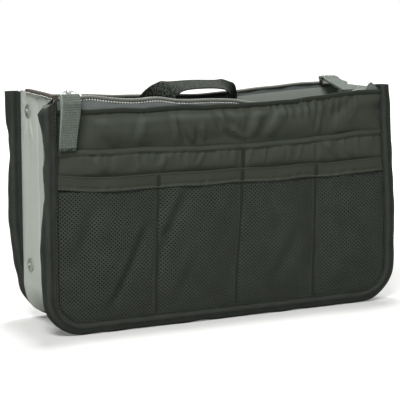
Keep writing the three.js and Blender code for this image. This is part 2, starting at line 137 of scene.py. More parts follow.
class InsertSizes(bpy.types.PropertyGroup):
    """Sizes of the soft details."""
    net_pitch: length("Net pitch", "Distance between the holes of the net along the wall", 3.2)
    bay_puff: length("Bay puff", "How far the low pocket stands out between its seams", 3.2)
    stitch: length("Stitch", "Length of one stitch with its gap", 2.8)
    tooth: length("Tooth", "Distance between zip teeth of one row", 2.1)
    binding_wave: length("Binding wave", "How far the edge of the binding wanders", 0.6)
    crease: FloatProperty(name="Creases", description="Strength of the creases in the cloth",
                          default=1.0, min=0, max=2, subtype="FACTOR")


class InsertColours(bpy.types.PropertyGroup):
    """Colours of the finishes."""
    shell: colour("Shell", "Outer nylon", 58, 62, 55)
    net: colour("Net", "Mesh of the low pocket", 53, 57, 52)
    hem: colour("Net hem", "Band along the top of the net", 54, 58, 51)
    binding: colour("Binding", "Tape round the walls", 42, 45, 41)
    lining: colour("Lining", "Inside cloth and gussets", 157, 162, 155)
    webbing: colour("Tab webbing", "Pull tabs", 86, 92, 86)
    strap: colour("Strap webbing", "Handles", 28, 31, 27)
    tape: colour("Zip tape", "Woven zip tape", 96, 101, 99)
    teeth: colour("Zip teeth", "Moulded zip teeth", 84, 86, 79)
    metal: colour("Metal", "Sliders, rings and snaps", 196, 198, 196)
    board: colour("Board", "Stiffener inside the walls", 214, 212, 204)


class InsertStage(bpy.types.PropertyGroup):
    """Camera and light."""
    distance: FloatProperty(name="Distance", description="Camera to the middle of the insert",
                            default=1.1686, min=0.1, unit="LENGTH")
    azimuth: FloatProperty(name="Azimuth", description="Camera turn about the upright axis",
                           default=math.radians(-27.99), subtype="ANGLE")
    elevation: FloatProperty(name="Elevation", description="Camera height as an angle",
                             default=math.radians(8.29), subtype="ANGLE")
    lens: FloatProperty(name="Lens", description="Focal length in millimetres", default=135.43, min=10)
    key: FloatProperty(name="Key light", description="Power of the large front lamp in watts",
                       default=70.5, min=0)
    sky: FloatProperty(name="Sky", description="Strength of the even light round the insert",
                       default=0.1, min=0)
    floor: colour("Floor", "Paper under the insert", 182, 182, 180)


def sizes():
    """Sizes set in the panel."""
    return bpy.context.scene.insert_sizes


def colours():
    """Colours set in the panel."""
    return bpy.context.scene.insert_colours


# Shader finishes

class Signal:
    """A socket of a finish; arithmetic on it adds Math nodes."""

    def __init__(self, finish, socket):
        self.finish, self.socket = finish, socket

    def math(self, operation, *values):
        """A Math node on signals and plain values."""
        return self.finish.add("ShaderNodeMath", {"operation": operation}, dict(enumerate(values)))

    def __add__(self, other):
        return self.math("ADD", self, other)

    def __sub__(self, other):
        return self.math("SUBTRACT", self, other)

    def __rsub__(self, other):
        return self.math("SUBTRACT", other, self)

    def __mul__(self, other):
        return self.math("MULTIPLY", self, other)

    __radd__, __rmul__ = __add__, __mul__

    def sine(self):
        """Its sine, taken as an angle."""
        return self.math("SINE", self)

    def size(self):
        """Its value without a sign."""
        return self.math("ABSOLUTE", self)

    def over(self, limit):
        """1 where it is greater than a limit, 0 elsewhere."""
        return self.math("GREATER_THAN", self, limit)

    def clamp(self):
        """Its value held between 0 and 1."""
        return self.math("MINIMUM", self.math("MAXIMUM", self, 0.0), 1.0)


class Finish:
    """A node material with one shader; constants go straight onto the shader's sockets."""

    def __init__(self, name, **constants):
        self.material = bpy.data.materials.new(name)
        self.material.use_nodes = True
        self.tree = self.material.node_tree
        self.shader = self.tree.nodes["Principled BSDF"]
        for socket, value in constants.items():
            self.shader.inputs[socket.replace("_", " ").title().replace("Ior", "IOR")].default_value = value

    def add(self, kind, settings=None, inputs=None, output=0):
        """A node of a kind: its settings first, then the values or links of its sockets."""
        node = self.tree.nodes.new(kind)
        for key, value in (settings or {}).items():
            setattr(node, key, value)
        for key, value in (inputs or {}).items():
            self.feed(node.inputs[key], value)
        return Signal(self, node.outputs[output])

    def feed(self, socket, value):
        """A link or a plain value into a socket; a bare colour gets its alpha."""
        if isinstance(value, Signal):
            self.tree.links.new(value.socket, socket)
        elif socket.type == "RGBA" and len(value) == 3:
            socket.default_value = (*value, 1)
        else:
            socket.default_value = value

    def set(self, **sockets):
        """Links what changes over the surface to the shader."""
        for socket, value in sockets.items():
            self.feed(self.shader.inputs[socket.replace("_", " ")], value)

    def strip(self):
        """The piece's own map, and its coordinates along and across, in metres."""
        spot = self.add("ShaderNodeTexCoord", output="UV")
        along = self.add("ShaderNodeSeparateXYZ", inputs={0: spot})
        return spot, along, Signal(self, along.socket.node.outputs[1])

    def noise(self, spot, scale, detail=3.0):
        """Seedless noise over a map, from 0 to 1."""
        return self.add("ShaderNodeTexNoise", inputs={
            "Vector": spot, "Scale": scale, "Detail": detail, "Roughness": 0.55})

    def mix(self, share, first, second):
        """A blend of two colours by a share."""
        return self.add("ShaderNodeMix", {"data_type": "RGBA"}, {0: share, 6: first, 7: second}, 2)

    def bump(self, height, strength, distance):
        """A normal bent by a height over a distance in metres."""
        return self.add("ShaderNodeBump", inputs={
            "Strength": strength, "Distance": distance, "Height": height})

    def weave(self, along, across, pitch):
        """Plain weave: rounded warp and weft, the sine's size, that swap over where both sines share a sign."""
        warp, weft = (along * (math.pi / pitch)).sine(), (across * (math.pi / pitch)).sine()
        swap = (warp * weft).over(0.0)
        return warp.size() * swap + weft.size() * (1 - swap)


def scaled(shade, factor):
    """A colour times a factor, at most 1 in each part."""
    return tuple(min(1.0, part * factor) for part in shade[:3])


def cloth_finish(name, shade, pitch, sheen, rough, mottle, painted_shade_height=None):
    """Woven cloth: plain weave relief at a pitch in metres, soft mottling of its colour, and threads a little
    lighter on top, a painted highlight of the weave; below a given height, behind the net, it is darker: painted
    shade of the low pocket in front of it."""
    finish = Finish(name, sheen_weight=sheen, sheen_roughness=0.45, specular_ior_level=0.05)
    spot, along, across = finish.strip()
    weave = finish.weave(along, across, pitch)
    patches = finish.noise(spot, 55.0, 4.0)
    slubs = finish.noise(spot, 900.0, 2.0)
    # painted highlight: the weave's raised threads are made a little lighter
    tone = (patches * 0.75 + slubs * 0.25 + weave * 0.3 - 0.4).clamp()
    body = finish.mix(tone, scaled(shade, 1 - mottle), scaled(shade, 1 + mottle))
    # painted shade behind the low pocket: below the given height the cloth is darkened to 0.42 of its colour
    if painted_shade_height:
        body = finish.mix(((across - painted_shade_height) * 500.0).clamp(), scaled(shade, 0.42), body)
    finish.set(Base_Color=body,
               Roughness=(rough - 0.12) + 0.24 * patches,
               Normal=finish.bump(weave + 0.6 * slubs, 0.35, pitch * 0.3))
    return finish.material


def net_finish(name, shade):
    """Knitted net: fine diagonal yarns and a faint dark speckle."""
    finish = Finish(name, specular_ior_level=0.05)
    spot, along, across = finish.strip()
    yarn = ((along + across * 0.6) * 9000.0).sine() * 0.5 + ((along - across * 0.6) * 9000.0).sine() * 0.5
    patches = finish.noise(spot, 38.0, 4.0)
    tone = (patches * 1.1 + yarn * 0.12 - 0.05).clamp()
    finish.set(Base_Color=finish.mix(tone, scaled(shade, 0.68), scaled(shade, 1.25)),
               Roughness=0.55 + 0.2 * patches,
               Normal=finish.bump(yarn, 0.3, 0.0002))
    return finish.material


def ribbed_finish(name, shade, rib, edge, half_width, speckle=0.0):
    """Ribbed tape: ribs across its length, yarns along it, a lighter selvedge past a half width on one side, by
    the share called edge, and a speckle of light and dark yarns."""
    finish = Finish(name, specular_ior_level=0.05)
    spot, along, across = finish.strip()
    ribs = (along * (2 * math.pi / rib)).sine() * 0.5 + 0.5
    yarns = (across * (2 * math.pi / (rib * 0.8))).sine() * 0.5 + 0.5
    patches = finish.noise(spot, 120.0, 4.0)
    flecks = finish.noise(spot, 680.0, 1.0)
    tone = (patches * 0.6 + ribs * 0.25 + yarns * 0.25 - 0.15 + (flecks - 0.5) * (9.0 * speckle)).clamp()
    body = finish.mix(tone, scaled(shade, 0.66 - 0.4 * speckle), scaled(shade, 1.3 + 1.3 * speckle))
    selvedge = (across * -1.0).over(half_width)
    finish.set(Base_Color=finish.mix(selvedge * edge, body, scaled(shade, 2.2)),
               Roughness=0.62 + 0.2 * patches,
               Normal=finish.bump(ribs * 0.7 + yarns * 0.5, 0.5, rib * 0.25))
    return finish.material


def binding_finish(name, shade, width):
    """Binding: two ribs along the tape painted lighter as a painted highlight, with a groove between them and one
    at its inner edge painted darker as painted shade, and streaks drawn out along it, on a fine cross rib."""
    finish = Finish(name, specular_ior_level=0.05)
    spot, along, across = finish.strip()
    ribs = (along * 5700.0).sine() * 0.5 + 0.5
    # painted highlight on the two ribs and painted shade in the grooves, as bands across the tape
    bands = (across * (4 * math.pi / width) - 0.9).sine() * 0.5 + 0.5
    drawn = finish.add("ShaderNodeCombineXYZ", inputs={0: along * 70.0, 1: across * 1100.0})
    streaks, patches = finish.noise(drawn, 1.0, 2.0), finish.noise(spot, 90.0, 3.0)
    tone = (bands * 0.45 + streaks * 0.7 + patches * 0.5 + ribs * 0.1 - 0.42).clamp()
    finish.set(Base_Color=finish.mix(tone, scaled(shade, 0.5), scaled(shade, 1.6)),
               Roughness=0.62 + 0.2 * patches,
               Normal=finish.bump(ribs * 0.6 + streaks, 0.5, 0.0003))
    return finish.material


def seam_shade_finish(name, shade, half_width):
    """Seam: painted shade of the seam's valley, darkest in its middle, growing to the cloth's colour towards its
    edges, with a fine grain.
    """
    finish = Finish(name, specular_ior_level=0.05)
    spot, _, across = finish.strip()
    grain = finish.noise(spot, 500.0, 3.0)
    share = (across * (1 / half_width)).size().clamp()
    tone = (share * share * (0.6 + 0.6 * grain)).clamp()
    finish.set(Base_Color=finish.mix(tone, scaled(shade, 0.4), scaled(shade, 0.85)),
               Roughness=0.8 + 0.1 * grain,
               Normal=finish.bump(grain, 0.3, 0.0003))
    return finish.material


def solid_finish(name, shade, rough, metal=0.0, grain=700.0):
    """Moulded, pressed or spun surface: fine grain in roughness and relief, and a slow change of tone."""
    finish = Finish(name, specular_ior_level=0.5 if metal else 0.2)
    spot = finish.add("ShaderNodeTexCoord", output="Object")
    slow, fine = finish.noise(spot, 160.0, 3.0), finish.noise(spot, grain, 3.0)
    finish.shader.inputs["Metallic"].default_value = metal
    finish.set(Base_Color=finish.mix(slow, scaled(shade, 0.82), scaled(shade, 1.18)),
               Roughness=(rough - 0.1) + 0.2 * fine,
               Normal=finish.bump(fine, 0.12, 0.0002))
    return finish.material


FINISHES = {}


def finish(name):
    """The named finish, made on its first use by a maker from the colours of the panel."""
    c = colours()
    makers = {
        "shell": (cloth_finish, "shell_cloth", c.shell, 0.0006, 0.0, 0.6, 0.2),
        "lining": (cloth_finish, "lining_cloth", c.lining, 0.0006, 0.05, 0.7, 0.05),
        # lining colour at 0.7 for the walls' lining: painted shade inside the walls
        "inner": (cloth_finish, "inner_lining", scaled(c.lining, 0.7), 0.0006, 0.0, 0.7, 0.06),
        "hem": (cloth_finish, "net_hem", c.hem, 0.0009, 0.0, 0.65, 0.22),
        # shell colour at 0.55 for the rolled top edge: painted shade under the zip
        "piping": (cloth_finish, "edge_piping", scaled(c.shell, 0.55), 0.0007, 0.0, 0.75, 0.2),
        # slip cloth darkened from a little above the low pocket's hem downwards: painted shade behind the net
        "slip": (cloth_finish, "slip_cloth", c.shell, 0.0006, 0.0, 0.6, 0.2, (LOW_HEM + 3) / 1000),
        "tape": (cloth_finish, "zip_tape", c.tape, 0.0008, 0.05, 0.75, 0.14),
        "net": (net_finish, "pocket_net", c.net),
        "binding": (binding_finish, "binding_tape", c.binding, 0.0104),
        # seams as darkened strips: painted shade in the seams' valleys
        "seam": (seam_shade_finish, "seam_fold", c.shell, SEAM_HALF / 1000),
        "webbing": (ribbed_finish, "strap_webbing", c.strap, 0.0015, 0.0, 0.02, 1.0),
        "tab": (ribbed_finish, "pull_webbing", c.webbing, 0.0018, 0.6, 0.0064, 0.1),
        "tail": (ribbed_finish, "zip_tail", linear(70, 66, 60), 0.0016, 0.0, 0.02),
        "teeth": (solid_finish, "zip_teeth", c.teeth, 0.42),
        "thread": (solid_finish, "dark_thread", linear(50, 53, 48), 0.8, 0.0, 2500.0),
        # hem thread a little lighter than the hem: real stitches, coloured as a painted highlight on the hem's
        # rolled lower edge
        "hem_thread": (solid_finish, "hem_thread", linear(62, 65, 58), 0.8, 0.0, 2500.0),
        "pale_thread": (solid_finish, "pale_thread", linear(206, 207, 201), 0.7, 0.0, 2500.0),
        "metal": (solid_finish, "nickel", c.metal, 0.3, 1.0),
        "snap": (solid_finish, "snap_metal", linear(128, 132, 125), 0.5, 0.75),
        "board": (solid_finish, "stiffener_board", c.board, 0.8, 0.0, 400.0),
    }
    if name not in FINISHES:
        maker, *values = makers[name]
        FINISHES[name] = maker(*values)
    return FINISHES[name]


# Forms worked out on grids

def smooth(value, low, high):
    """Smoothstep: 0 up to low, 1 from high on, a cubic between."""
    t = np.clip((value - low) / (high - low), 0, 1)
    return t * t * (3 - 2 * t)


def bell(value, middle, width):
    """Bell curve of height 1."""
    return np.exp(-((value - middle) / width) ** 2)


def circle(count):
    """Angles of even steps round a circle."""
    return np.linspace(0, 2 * np.pi, count, endpoint=False)


def squared(value, power):
    """A sine or cosine with its size raised to a power: below 1 it squares the corners of a circle."""
    return np.sign(value) * np.abs(value) ** power


def oval(count, wide, high, flat=1.0, steep=1.0):
    """Outline by its half width and half height: a circle's cosine and sine, each squared off by a power."""
    t = circle(count)
    return np.column_stack([wide * squared(np.cos(t), flat), high * squared(np.sin(t), steep)])


def unit(vectors):
    """Vectors over their lengths."""
    return vectors / np.linalg.norm(vectors, axis=-1, keepdims=True)


def lengths_along(path):
    """Length gone at each point of a path: the sum of the steps before it."""
    return np.concatenate([[0], np.cumsum(np.linalg.norm(np.diff(path, axis=0), axis=1))])


def level_grid(low, high, count, rows):
    """Grid of even steps from low to high, the same along each of its rows."""
    return np.repeat(np.linspace(low, high, count)[:, None], rows, 1)


def waves(x, seed, pitch, terms=6):
    """Sum of sines with seeded phases and wavelengths about a pitch, scaled to about one."""
    draw = np.random.default_rng(seed)
    lengths, phases = pitch * draw.uniform(0.55, 1.8, terms), draw.uniform(0, 2 * np.pi, terms)
    return np.sin(2 * np.pi * np.asarray(x)[..., None] / lengths + phases).sum(-1) / (1.1 * terms ** 0.5)


def relief(x, z, seed, pitch, terms=7):
    """Slow unevenness of cloth: seeded sines across random directions, scaled to about one."""
    draw = np.random.default_rng(seed)
    turn, phase = draw.uniform(0, np.pi, terms), draw.uniform(0, 2 * np.pi, terms)
    rate = 2 * np.pi / (pitch * draw.uniform(0.6, 1.8, terms))
    x, z = np.broadcast_arrays(x, z)
    along = x[..., None] * np.cos(turn) + z[..., None] * np.sin(turn)
    return np.sin(along * rate + phase).sum(-1) / (1.1 * terms ** 0.5)


def creases(x, z, lines):
    """Sum over lines of a ridge with a shallow trough beside it, as bell curves of the distance to the
    line, each fading towards the line's ends; a line is x, z, x, z, width, height."""
    x, z = np.broadcast_arrays(x, z)
    total = np.zeros(x.shape)
    for x0, z0, x1, z1, width, height in lines:
        reach = math.hypot(x1 - x0, z1 - z0)
        tx, tz = (x1 - x0) / reach, (z1 - z0) / reach
        along = ((x - x0) * tx + (z - z0) * tz) / reach
        off = ((x - x0) * tz - (z - z0) * tx) / width
        fade = smooth(along, -0.15, 0.25) * (1 - smooth(along, 0.75, 1.15))
        total = total + height * fade * (bell(off, 0, 1) - 0.7 * bell(off, 1.7, 1))
    return total * sizes().crease


class Form:
    """Closed bodies: points in millimetres, faces as arrays by corner count, and strip coordinates."""

    def __init__(self, points, faces, strip=None):
        self.points = np.asarray(points, float).reshape(-1, 3)
        self.faces = [np.asarray(part, int) for part in faces]
        self.strip = np.zeros((len(self.points), 2)) if strip is None else np.asarray(strip).reshape(-1, 2)

    def __add__(self, other):
        shifted = [part + len(self.points) for part in other.faces]
        return Form(np.concatenate([self.points, other.points]), self.faces + shifted,
                    np.concatenate([self.strip, other.strip]))

    def outwards(self):
        """Turns the faces round if the signed volume, a sum of corner products, is negative."""
        volume = 0.0
        for part in self.faces:
            corners = self.points[part]
            fan = np.cross(corners[:, 1:-1], corners[:, 2:])
            volume += (corners[:, :1] * fan).sum()
        if volume < 0:
            self.faces = [part[:, ::-1] for part in self.faces]
        return self

    def moved(self, turn, place=(0, 0, 0)):
        """The same body with its axes along the rows of a turn and its origin at a place."""
        return Form(self.points @ np.asarray(turn, float) + np.asarray(place, float), self.faces, self.strip)


def patch(rows, columns, start=0, ring=False):
    """Quads between neighbouring rows and columns of a grid; a ring joins the last column to the first."""
    steps = np.arange(columns if ring else columns - 1)
    base = start + np.arange(rows - 1)[:, None] * columns
    near, far = base + steps, base + (steps + 1) % columns
    return np.stack([near, far, far + columns, near + columns], -1).reshape(-1, 4)


def slab(outer, inner, strip):
    """Closed sheet: two grids of the same size, joined round their rims by quads."""
    rows, columns = outer.shape[:2]
    count = rows * columns
    index = np.arange(count).reshape(rows, columns)
    rim = np.concatenate([index[0, :-1], index[:-1, -1], index[-1, :0:-1], index[:0:-1, 0]])
    ahead = np.roll(rim, -1)
    sides = np.stack([rim, rim + count, ahead + count, ahead], -1)
    points = np.concatenate([outer.reshape(-1, 3), inner.reshape(-1, 3)])
    faces = np.concatenate([patch(rows, columns), patch(rows, columns, count)[:, ::-1], sides])
    return Form(points, [faces], np.tile(strip.reshape(-1, 2), (2, 1))).outwards()


def tube(points, strip=None):
    """Closed body of a grid whose rows are rings, with a flat cap on its first and on its last row."""
    rows, columns = points.shape[:2]
    first = np.arange(columns)
    caps = np.stack([first[::-1], (rows - 1) * columns + first])
    return Form(points, [patch(rows, columns, ring=True), caps], strip).outwards()


def swept(path, side, normal, profile, closed=False):
    """Profile carried along a path: each point is the path's plus the profile's two coordinates times the
    side and normal there; ends are closed by flat caps unless the path is closed."""
    path, profile = np.asarray(path, float), np.asarray(profile, float)
    side, normal = np.broadcast_to(side, path.shape), np.broadcast_to(normal, path.shape)
    profile = np.broadcast_to(profile, (len(path), *profile.shape[-2:]))
    points = path[:, None] + profile[..., :1] * side[:, None] + profile[..., 1:] * normal[:, None]
    rows, columns = points.shape[:2]
    gone = np.broadcast_to(lengths_along(path)[:, None], (rows, columns))
    strip = np.stack([gone, profile[..., 0]], -1) / 1000
    if not closed:
        return tube(points, strip)
    index = np.arange(rows * columns).reshape(rows, columns)
    last = np.stack([index[-1], np.roll(index[-1], -1), np.roll(index[0], -1), index[0]], -1)
    return Form(points, [np.concatenate([patch(rows, columns, ring=True), last])], strip).outwards()


def tangents(path):
    """Unit tangents of a path by differences."""
    return unit(np.gradient(np.asarray(path, float), axis=0))


def normals(path, side):
    """Unit normals of a path, square to its tangents and to a side vector."""
    return unit(np.cross(tangents(path), side))


def lathe(radii, heights, segments=24):
    """Radius over height turned about Z; the first and last radius are zero, and are closed as poles."""
    turn = circle(segments)
    radii, heights = np.asarray(radii, float)[1:-1, None], np.asarray(heights, float)
    rings = np.stack([radii * np.cos(turn), radii * np.sin(turn),
                      np.broadcast_to(heights[1:-1, None], (len(radii), segments))], -1).reshape(-1, 3)
    count, ahead = len(rings), (np.arange(segments) + 1) % segments
    low = np.stack([np.full(segments, count), ahead, np.arange(segments)], -1)
    high = np.stack([np.full(segments, count + 1), np.arange(segments) + count - segments,
                     ahead + count - segments], -1)
    points = np.concatenate([rings, [[0, 0, heights[0]], [0, 0, heights[-1]]]])
    faces = [patch(len(radii), segments, ring=True), np.concatenate([low, high])]
    return Form(points, faces).outwards()


def plate(outline, low, high, edge):
    """Rounded plate: an outline drawn in by an edge at its two faces, closed by flat caps."""
    outline = np.asarray(outline, float)
    drawn = outline - unit(outline - outline.mean(0)) * edge
    rings = [(drawn, low), (outline, low + edge), (outline, high - edge), (drawn, high)]
    return tube(np.stack([np.column_stack([ring, np.full(len(ring), z)]) for ring, z in rings]))


def repeated(form, places, turns):
    """Copies of a body: its points turned by each frame of axes and moved to each place."""
    points = np.einsum("kj,njc->nkc", form.points, turns) + places[:, None]
    shift = np.arange(len(places)) * len(form.points)
    faces = [(part[None] + shift[:, None, None]).reshape(-1, part.shape[1]) for part in form.faces]
    return Form(points, faces, np.tile(form.strip, (len(places), 1)))


def joined(forms):
    """Several bodies as one."""
    first, *others = forms
    return sum(others, first)


def stitches(path, normal, pitch=None, wide=0.42, share=0.66):
    """Row of stitches: a small capsule on each step of a path, along its tangent, half sunk into the cloth."""
    pitch = pitch or 1000 * sizes().stitch
    path = np.asarray(path, float)
    gone = lengths_along(path)
    count = max(2, int(gone[-1] / pitch))
    middles = (np.arange(count) + 0.5) * gone[-1] / count
    places, ahead, behind = (np.stack([np.interp(middles + step, gone, line) for line in path.T], -1)
                             for step in (0, 0.1, -0.1))
    tangent = unit(ahead - behind)
    side = unit(np.cross(np.asarray(normal, float), tangent))
    half = pitch * share / 2
    one = lathe([0, wide * 0.7, wide, wide * 0.7, 0], [-half, -half * 0.7, 0, half * 0.7, half], 6)
    return repeated(one, places, np.stack([side, np.cross(tangent, side), tangent], 1))


def curve(points, steps):
    """Smooth curve through points: cubics whose slope at a point is half the step between its neighbours."""
    points = np.asarray(points, float)
    slope = np.gradient(points, axis=0)
    t = np.linspace(0, 1, steps, endpoint=False)[:, None]
    spans = [(2 * t ** 3 - 3 * t ** 2 + 1) * a + (t ** 3 - 2 * t ** 2 + t) * m
             + (3 * t ** 2 - 2 * t ** 3) * b + (t ** 3 - t ** 2) * n
             for a, b, m, n in zip(points, points[1:], slope, slope[1:])]
    return np.concatenate(spans + [points[-1:]])


def place(name, form, look, body, nodes=(), slot=None, crisp=None):
    """Puts a form into a mesh object in metres that rides on a body and stands for CAD nodes; edges above the
    crisp angle are shaded sharp."""
    mesh = bpy.data.meshes.new(name)
    mesh.vertices.add(len(form.points))
    mesh.vertices.foreach_set("co", (form.points / 1000).astype(np.float32).ravel())
    corners = np.concatenate([part.ravel() for part in form.faces])
    counts = np.concatenate([np.full(len(part), part.shape[1]) for part in form.faces])
    mesh.loops.add(len(corners))
    mesh.loops.foreach_set("vertex_index", corners.astype(np.int32))
    mesh.polygons.add(len(counts))
    mesh.polygons.foreach_set("loop_start", np.concatenate([[0], np.cumsum(counts)[:-1]]).astype(np.int32))
    mesh.polygons.foreach_set("use_smooth", np.ones(len(counts), dtype=bool))
    mesh.update(calc_edges=True)
    if mesh.validate():
        raise RuntimeError(f"{name}: the mesh had faults")
    layer = mesh.uv_layers.new(name="strip")
    layer.data.foreach_set("uv", form.strip[corners].astype(np.float32).ravel())
    if crisp:
        mesh.set_sharp_from_angle(angle=math.radians(crisp))
    piece = bpy.data.objects.new(name, mesh)
    bpy.context.scene.collection.objects.link(piece)
    mesh.materials.append(finish(look))
    if body:
        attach(piece, body)
    if nodes:
        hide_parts(*nodes)
    return piece


def sew(wall, name, form, look, slot, nodes=(), crisp=None, body="wall"):
    """Places a piece of one wall: its name and those of its body and CAD nodes all start with the wall's."""
    return place(f"{wall}_{name}", form, look, f"{wall}_{body}", [f"{wall}_{node}" for node in nodes], slot, crisp)


# Places on a wall: x along it, out from the lining's inner face, z up

def on_wall(wall, x, out, z):
    """World points of one wall; the back wall is the front one turned half round."""
    turn = 1 if wall == "front" else -1
    x, out, z = np.broadcast_arrays(x, out, z)
    x = x + lean(wall, z) * smooth(x, 70, 150)
    return np.stack([turn * x, -turn * (FACE + out), z], -1).astype(float)


LEANS = {
    "front": ((0, 22, 58, 80, 96, 115, 140, 159, 176), (1.6, 3.0, 2.9, 2.4, 1.1, -0.4, -2.2, -3.2, -5.2)),
    "back": ((0, 15, 32, 43, 58, 75), (-8.5, -8.3, -6.2, -4.2, -1.9, 0.0)),
}


def lean(wall, z):
    """How far one side of a wall leans, by straight steps over its height: the front wall's right side is drawn
    in at the top and let out below, the back wall's same side is drawn in at its lower corner."""
    return np.interp(z, *LEANS[wall])


def facing(wall):
    """Outward direction of a wall."""
    return np.array([0, -1.0 if wall == "front" else 1.0, 0])


def columns_of(inset, count):
    """x of a panel's columns and z of its lower edge: a quarter circle, a line and a quarter circle."""
    half, radius = HALF - inset, CORNER - inset
    turn = np.linspace(0, np.pi / 2, 15)
    x, z = radius * (1 - np.cos(turn)) - half, inset + radius * (1 - np.sin(turn))
    middle = np.linspace(radius - half, half - radius, count)[1:-1]
    return (np.concatenate([x, middle, -x[::-1]]), np.concatenate([z, np.full(count - 2, inset), z[::-1]]))


def panel(inset, top, count, rows):
    """Grid of x and z over a panel: each column runs from the lower edge up to the top line."""
    x, low = columns_of(inset, count)
    high = top(x) if callable(top) else np.full_like(x, top)
    x = np.repeat(x[:, None], rows, 1)
    return x, low[:, None] + (high - low)[:, None] * np.linspace(0, 1, rows)


def sheet_on(wall, x, z, outer, inner):
    """Closed sheet on a wall between two depths, with x and z as its strip coordinates."""
    return slab(on_wall(wall, x, outer, z), on_wall(wall, x, inner, z), np.stack([x, z], -1) / 1000)


def shell_top(x):
    """Upper edge of the shell: level on the left, rising to the right, with a slight wave."""
    return SHELL_TOP + 7.0 * smooth(x, 15, 140) + 0.35 * waves(x, 4, 40)


def zip_height(x):
    """Middle of the zip chain: a straight line between its ends less a sag that goes with a squared sine."""
    share = np.clip((x - ZIP_LEFT) / (ZIP_RIGHT - ZIP_LEFT), 0, 1)
    return ZIP_START + (ZIP_END - ZIP_START) * share - 5 * np.sin(np.pi * share) ** 2


def zip_line(wall, x):
    """The zip's line as it lies: its height with a few soft waves on the front wall."""
    wave = 1.2 * bell(x, -112, 10) - 0.5 * bell(x, -82, 14) + 1.6 * bell(x, -58, 12) + 0.9 * bell(x, -14, 18)
    wave = wave - 3.6 * smooth(x, 2, 30) * (1 - smooth(x, 104, 122))
    return zip_height(x) + (wave if wall == "front" else 0.4 * waves(x, 93, 60))


def bay_puff(x, z):
    """How far the low pocket stands out: nought on the seams, which wander to the left near the floor, and a
    flattened arch between them, grown from the bottom and eased towards the hem."""
    edges = np.array([-HALF + BINDING_WIDTH, *SEAMS, HALF - BINDING_WIDTH])
    x = x + np.interp(x, edges, (0, *SEAM_BENDS, 0)) * (1 - smooth(z, 10, 100))
    bay = np.clip(np.searchsorted(edges, x) - 1, 0, 3)
    share = np.clip((x - edges[bay]) / (edges[bay + 1] - edges[bay]), 0, 1)
    arch = np.sin(np.pi * share) ** 0.7
    rise = smooth(z, 8, 42) * (1 - 0.5 * smooth(z, 70, LOW_TOP))
    return 1000 * sizes().bay_puff * arch * rise


# Creases as x, z, x, z, width and height, in millimetres; those of a snap start from its height

SHELL_CREASES = [(-41, 157, -29, 136, 2.6, 2.0), (-47, 158, -43, 142, 2.2, 1.0), (-24, 150, -20, 137, 2.4, 1.2),
                 (-10, 161, -3, 146, 2.2, 1.9), (-4, 147, 18, 136, 2.4, 2.0), (0, 160, 8, 147, 3.0, 1.4),
                 (26, 160, 20, 138, 3.5, 1.5), (48, 160, 34, 138, 4.0, 1.6), (-112, 158, -92, 141, 4.5, 1.2),
                 (-70, 160, -74, 141, 3.0, 1.0), (118, 160, 96, 142, 4.5, 1.5), (80, 160, 80, 140, 2.0, 1.0)]
SHELL_CREASES += [(at, 167 + 0.04 * at, at + 3, 150 + 0.03 * at, 1.5, high) for at, high in (
    (40, 0.9), (46, 1.2), (52, 1.0), (59, 1.3), (66, 1.0), (73, 1.3), (80, 1.1), (88, 1.3), (96, 0.8))]
SLIP_CREASES = [(77, 131, 78, 118, 1.4, -0.9), (86, 131, 97, 119, 2.4, 1.3), (100, 131, 112, 119, 2.6, 1.2),
                (34, 131, 33, 118, 1.2, -1.0), (20, 131, 17, 119, 1.6, 0.8), (-52, 130, -58, 119, 3.0, 1.2),
                (-112, 130, -102, 119, 3.5, 1.0), (-78, 131, -74, 119, 2.5, 0.8), (-22, 129, -27, 119, 1.5, 1.0),
                (52, 130, 54, 119, 2.0, 0.8), (64, 131, 61, 119, 2.0, 0.7), (122, 131, 128, 119, 2.0, 0.7)]
NET_CREASES = [(-36, 99, -56, 62, 4.2, -1.5), (-54, 68, -63, 36, 3.4, -1.1), (-68, 78, -82, 48, 4.0, -1.6),
               (-80, 52, -98, 18, 4.0, -1.6), (34, 98, 46, 66, 5, -1.0), (-24, 58, -44, 22, 4.5, -1.0),
               (96, 98, 104, 60, 5, -0.9), (-112, 94, -122, 60, 5, -0.9), (60, 60, 40, 26, 5, -0.9)]
SNAP_CREASES = [(18, -3, 26, -22, 2.0, 0.5), (17, -3, 10, -20, 2.0, 0.5), (21, 2, 29, 8, 1.8, 0.4),
                (15, 1, 6, 7, 1.8, 0.3), (-18, -3, -26, -20, 2.0, 0.4), (-15, -2, -8, -16, 2.0, 0.4)]


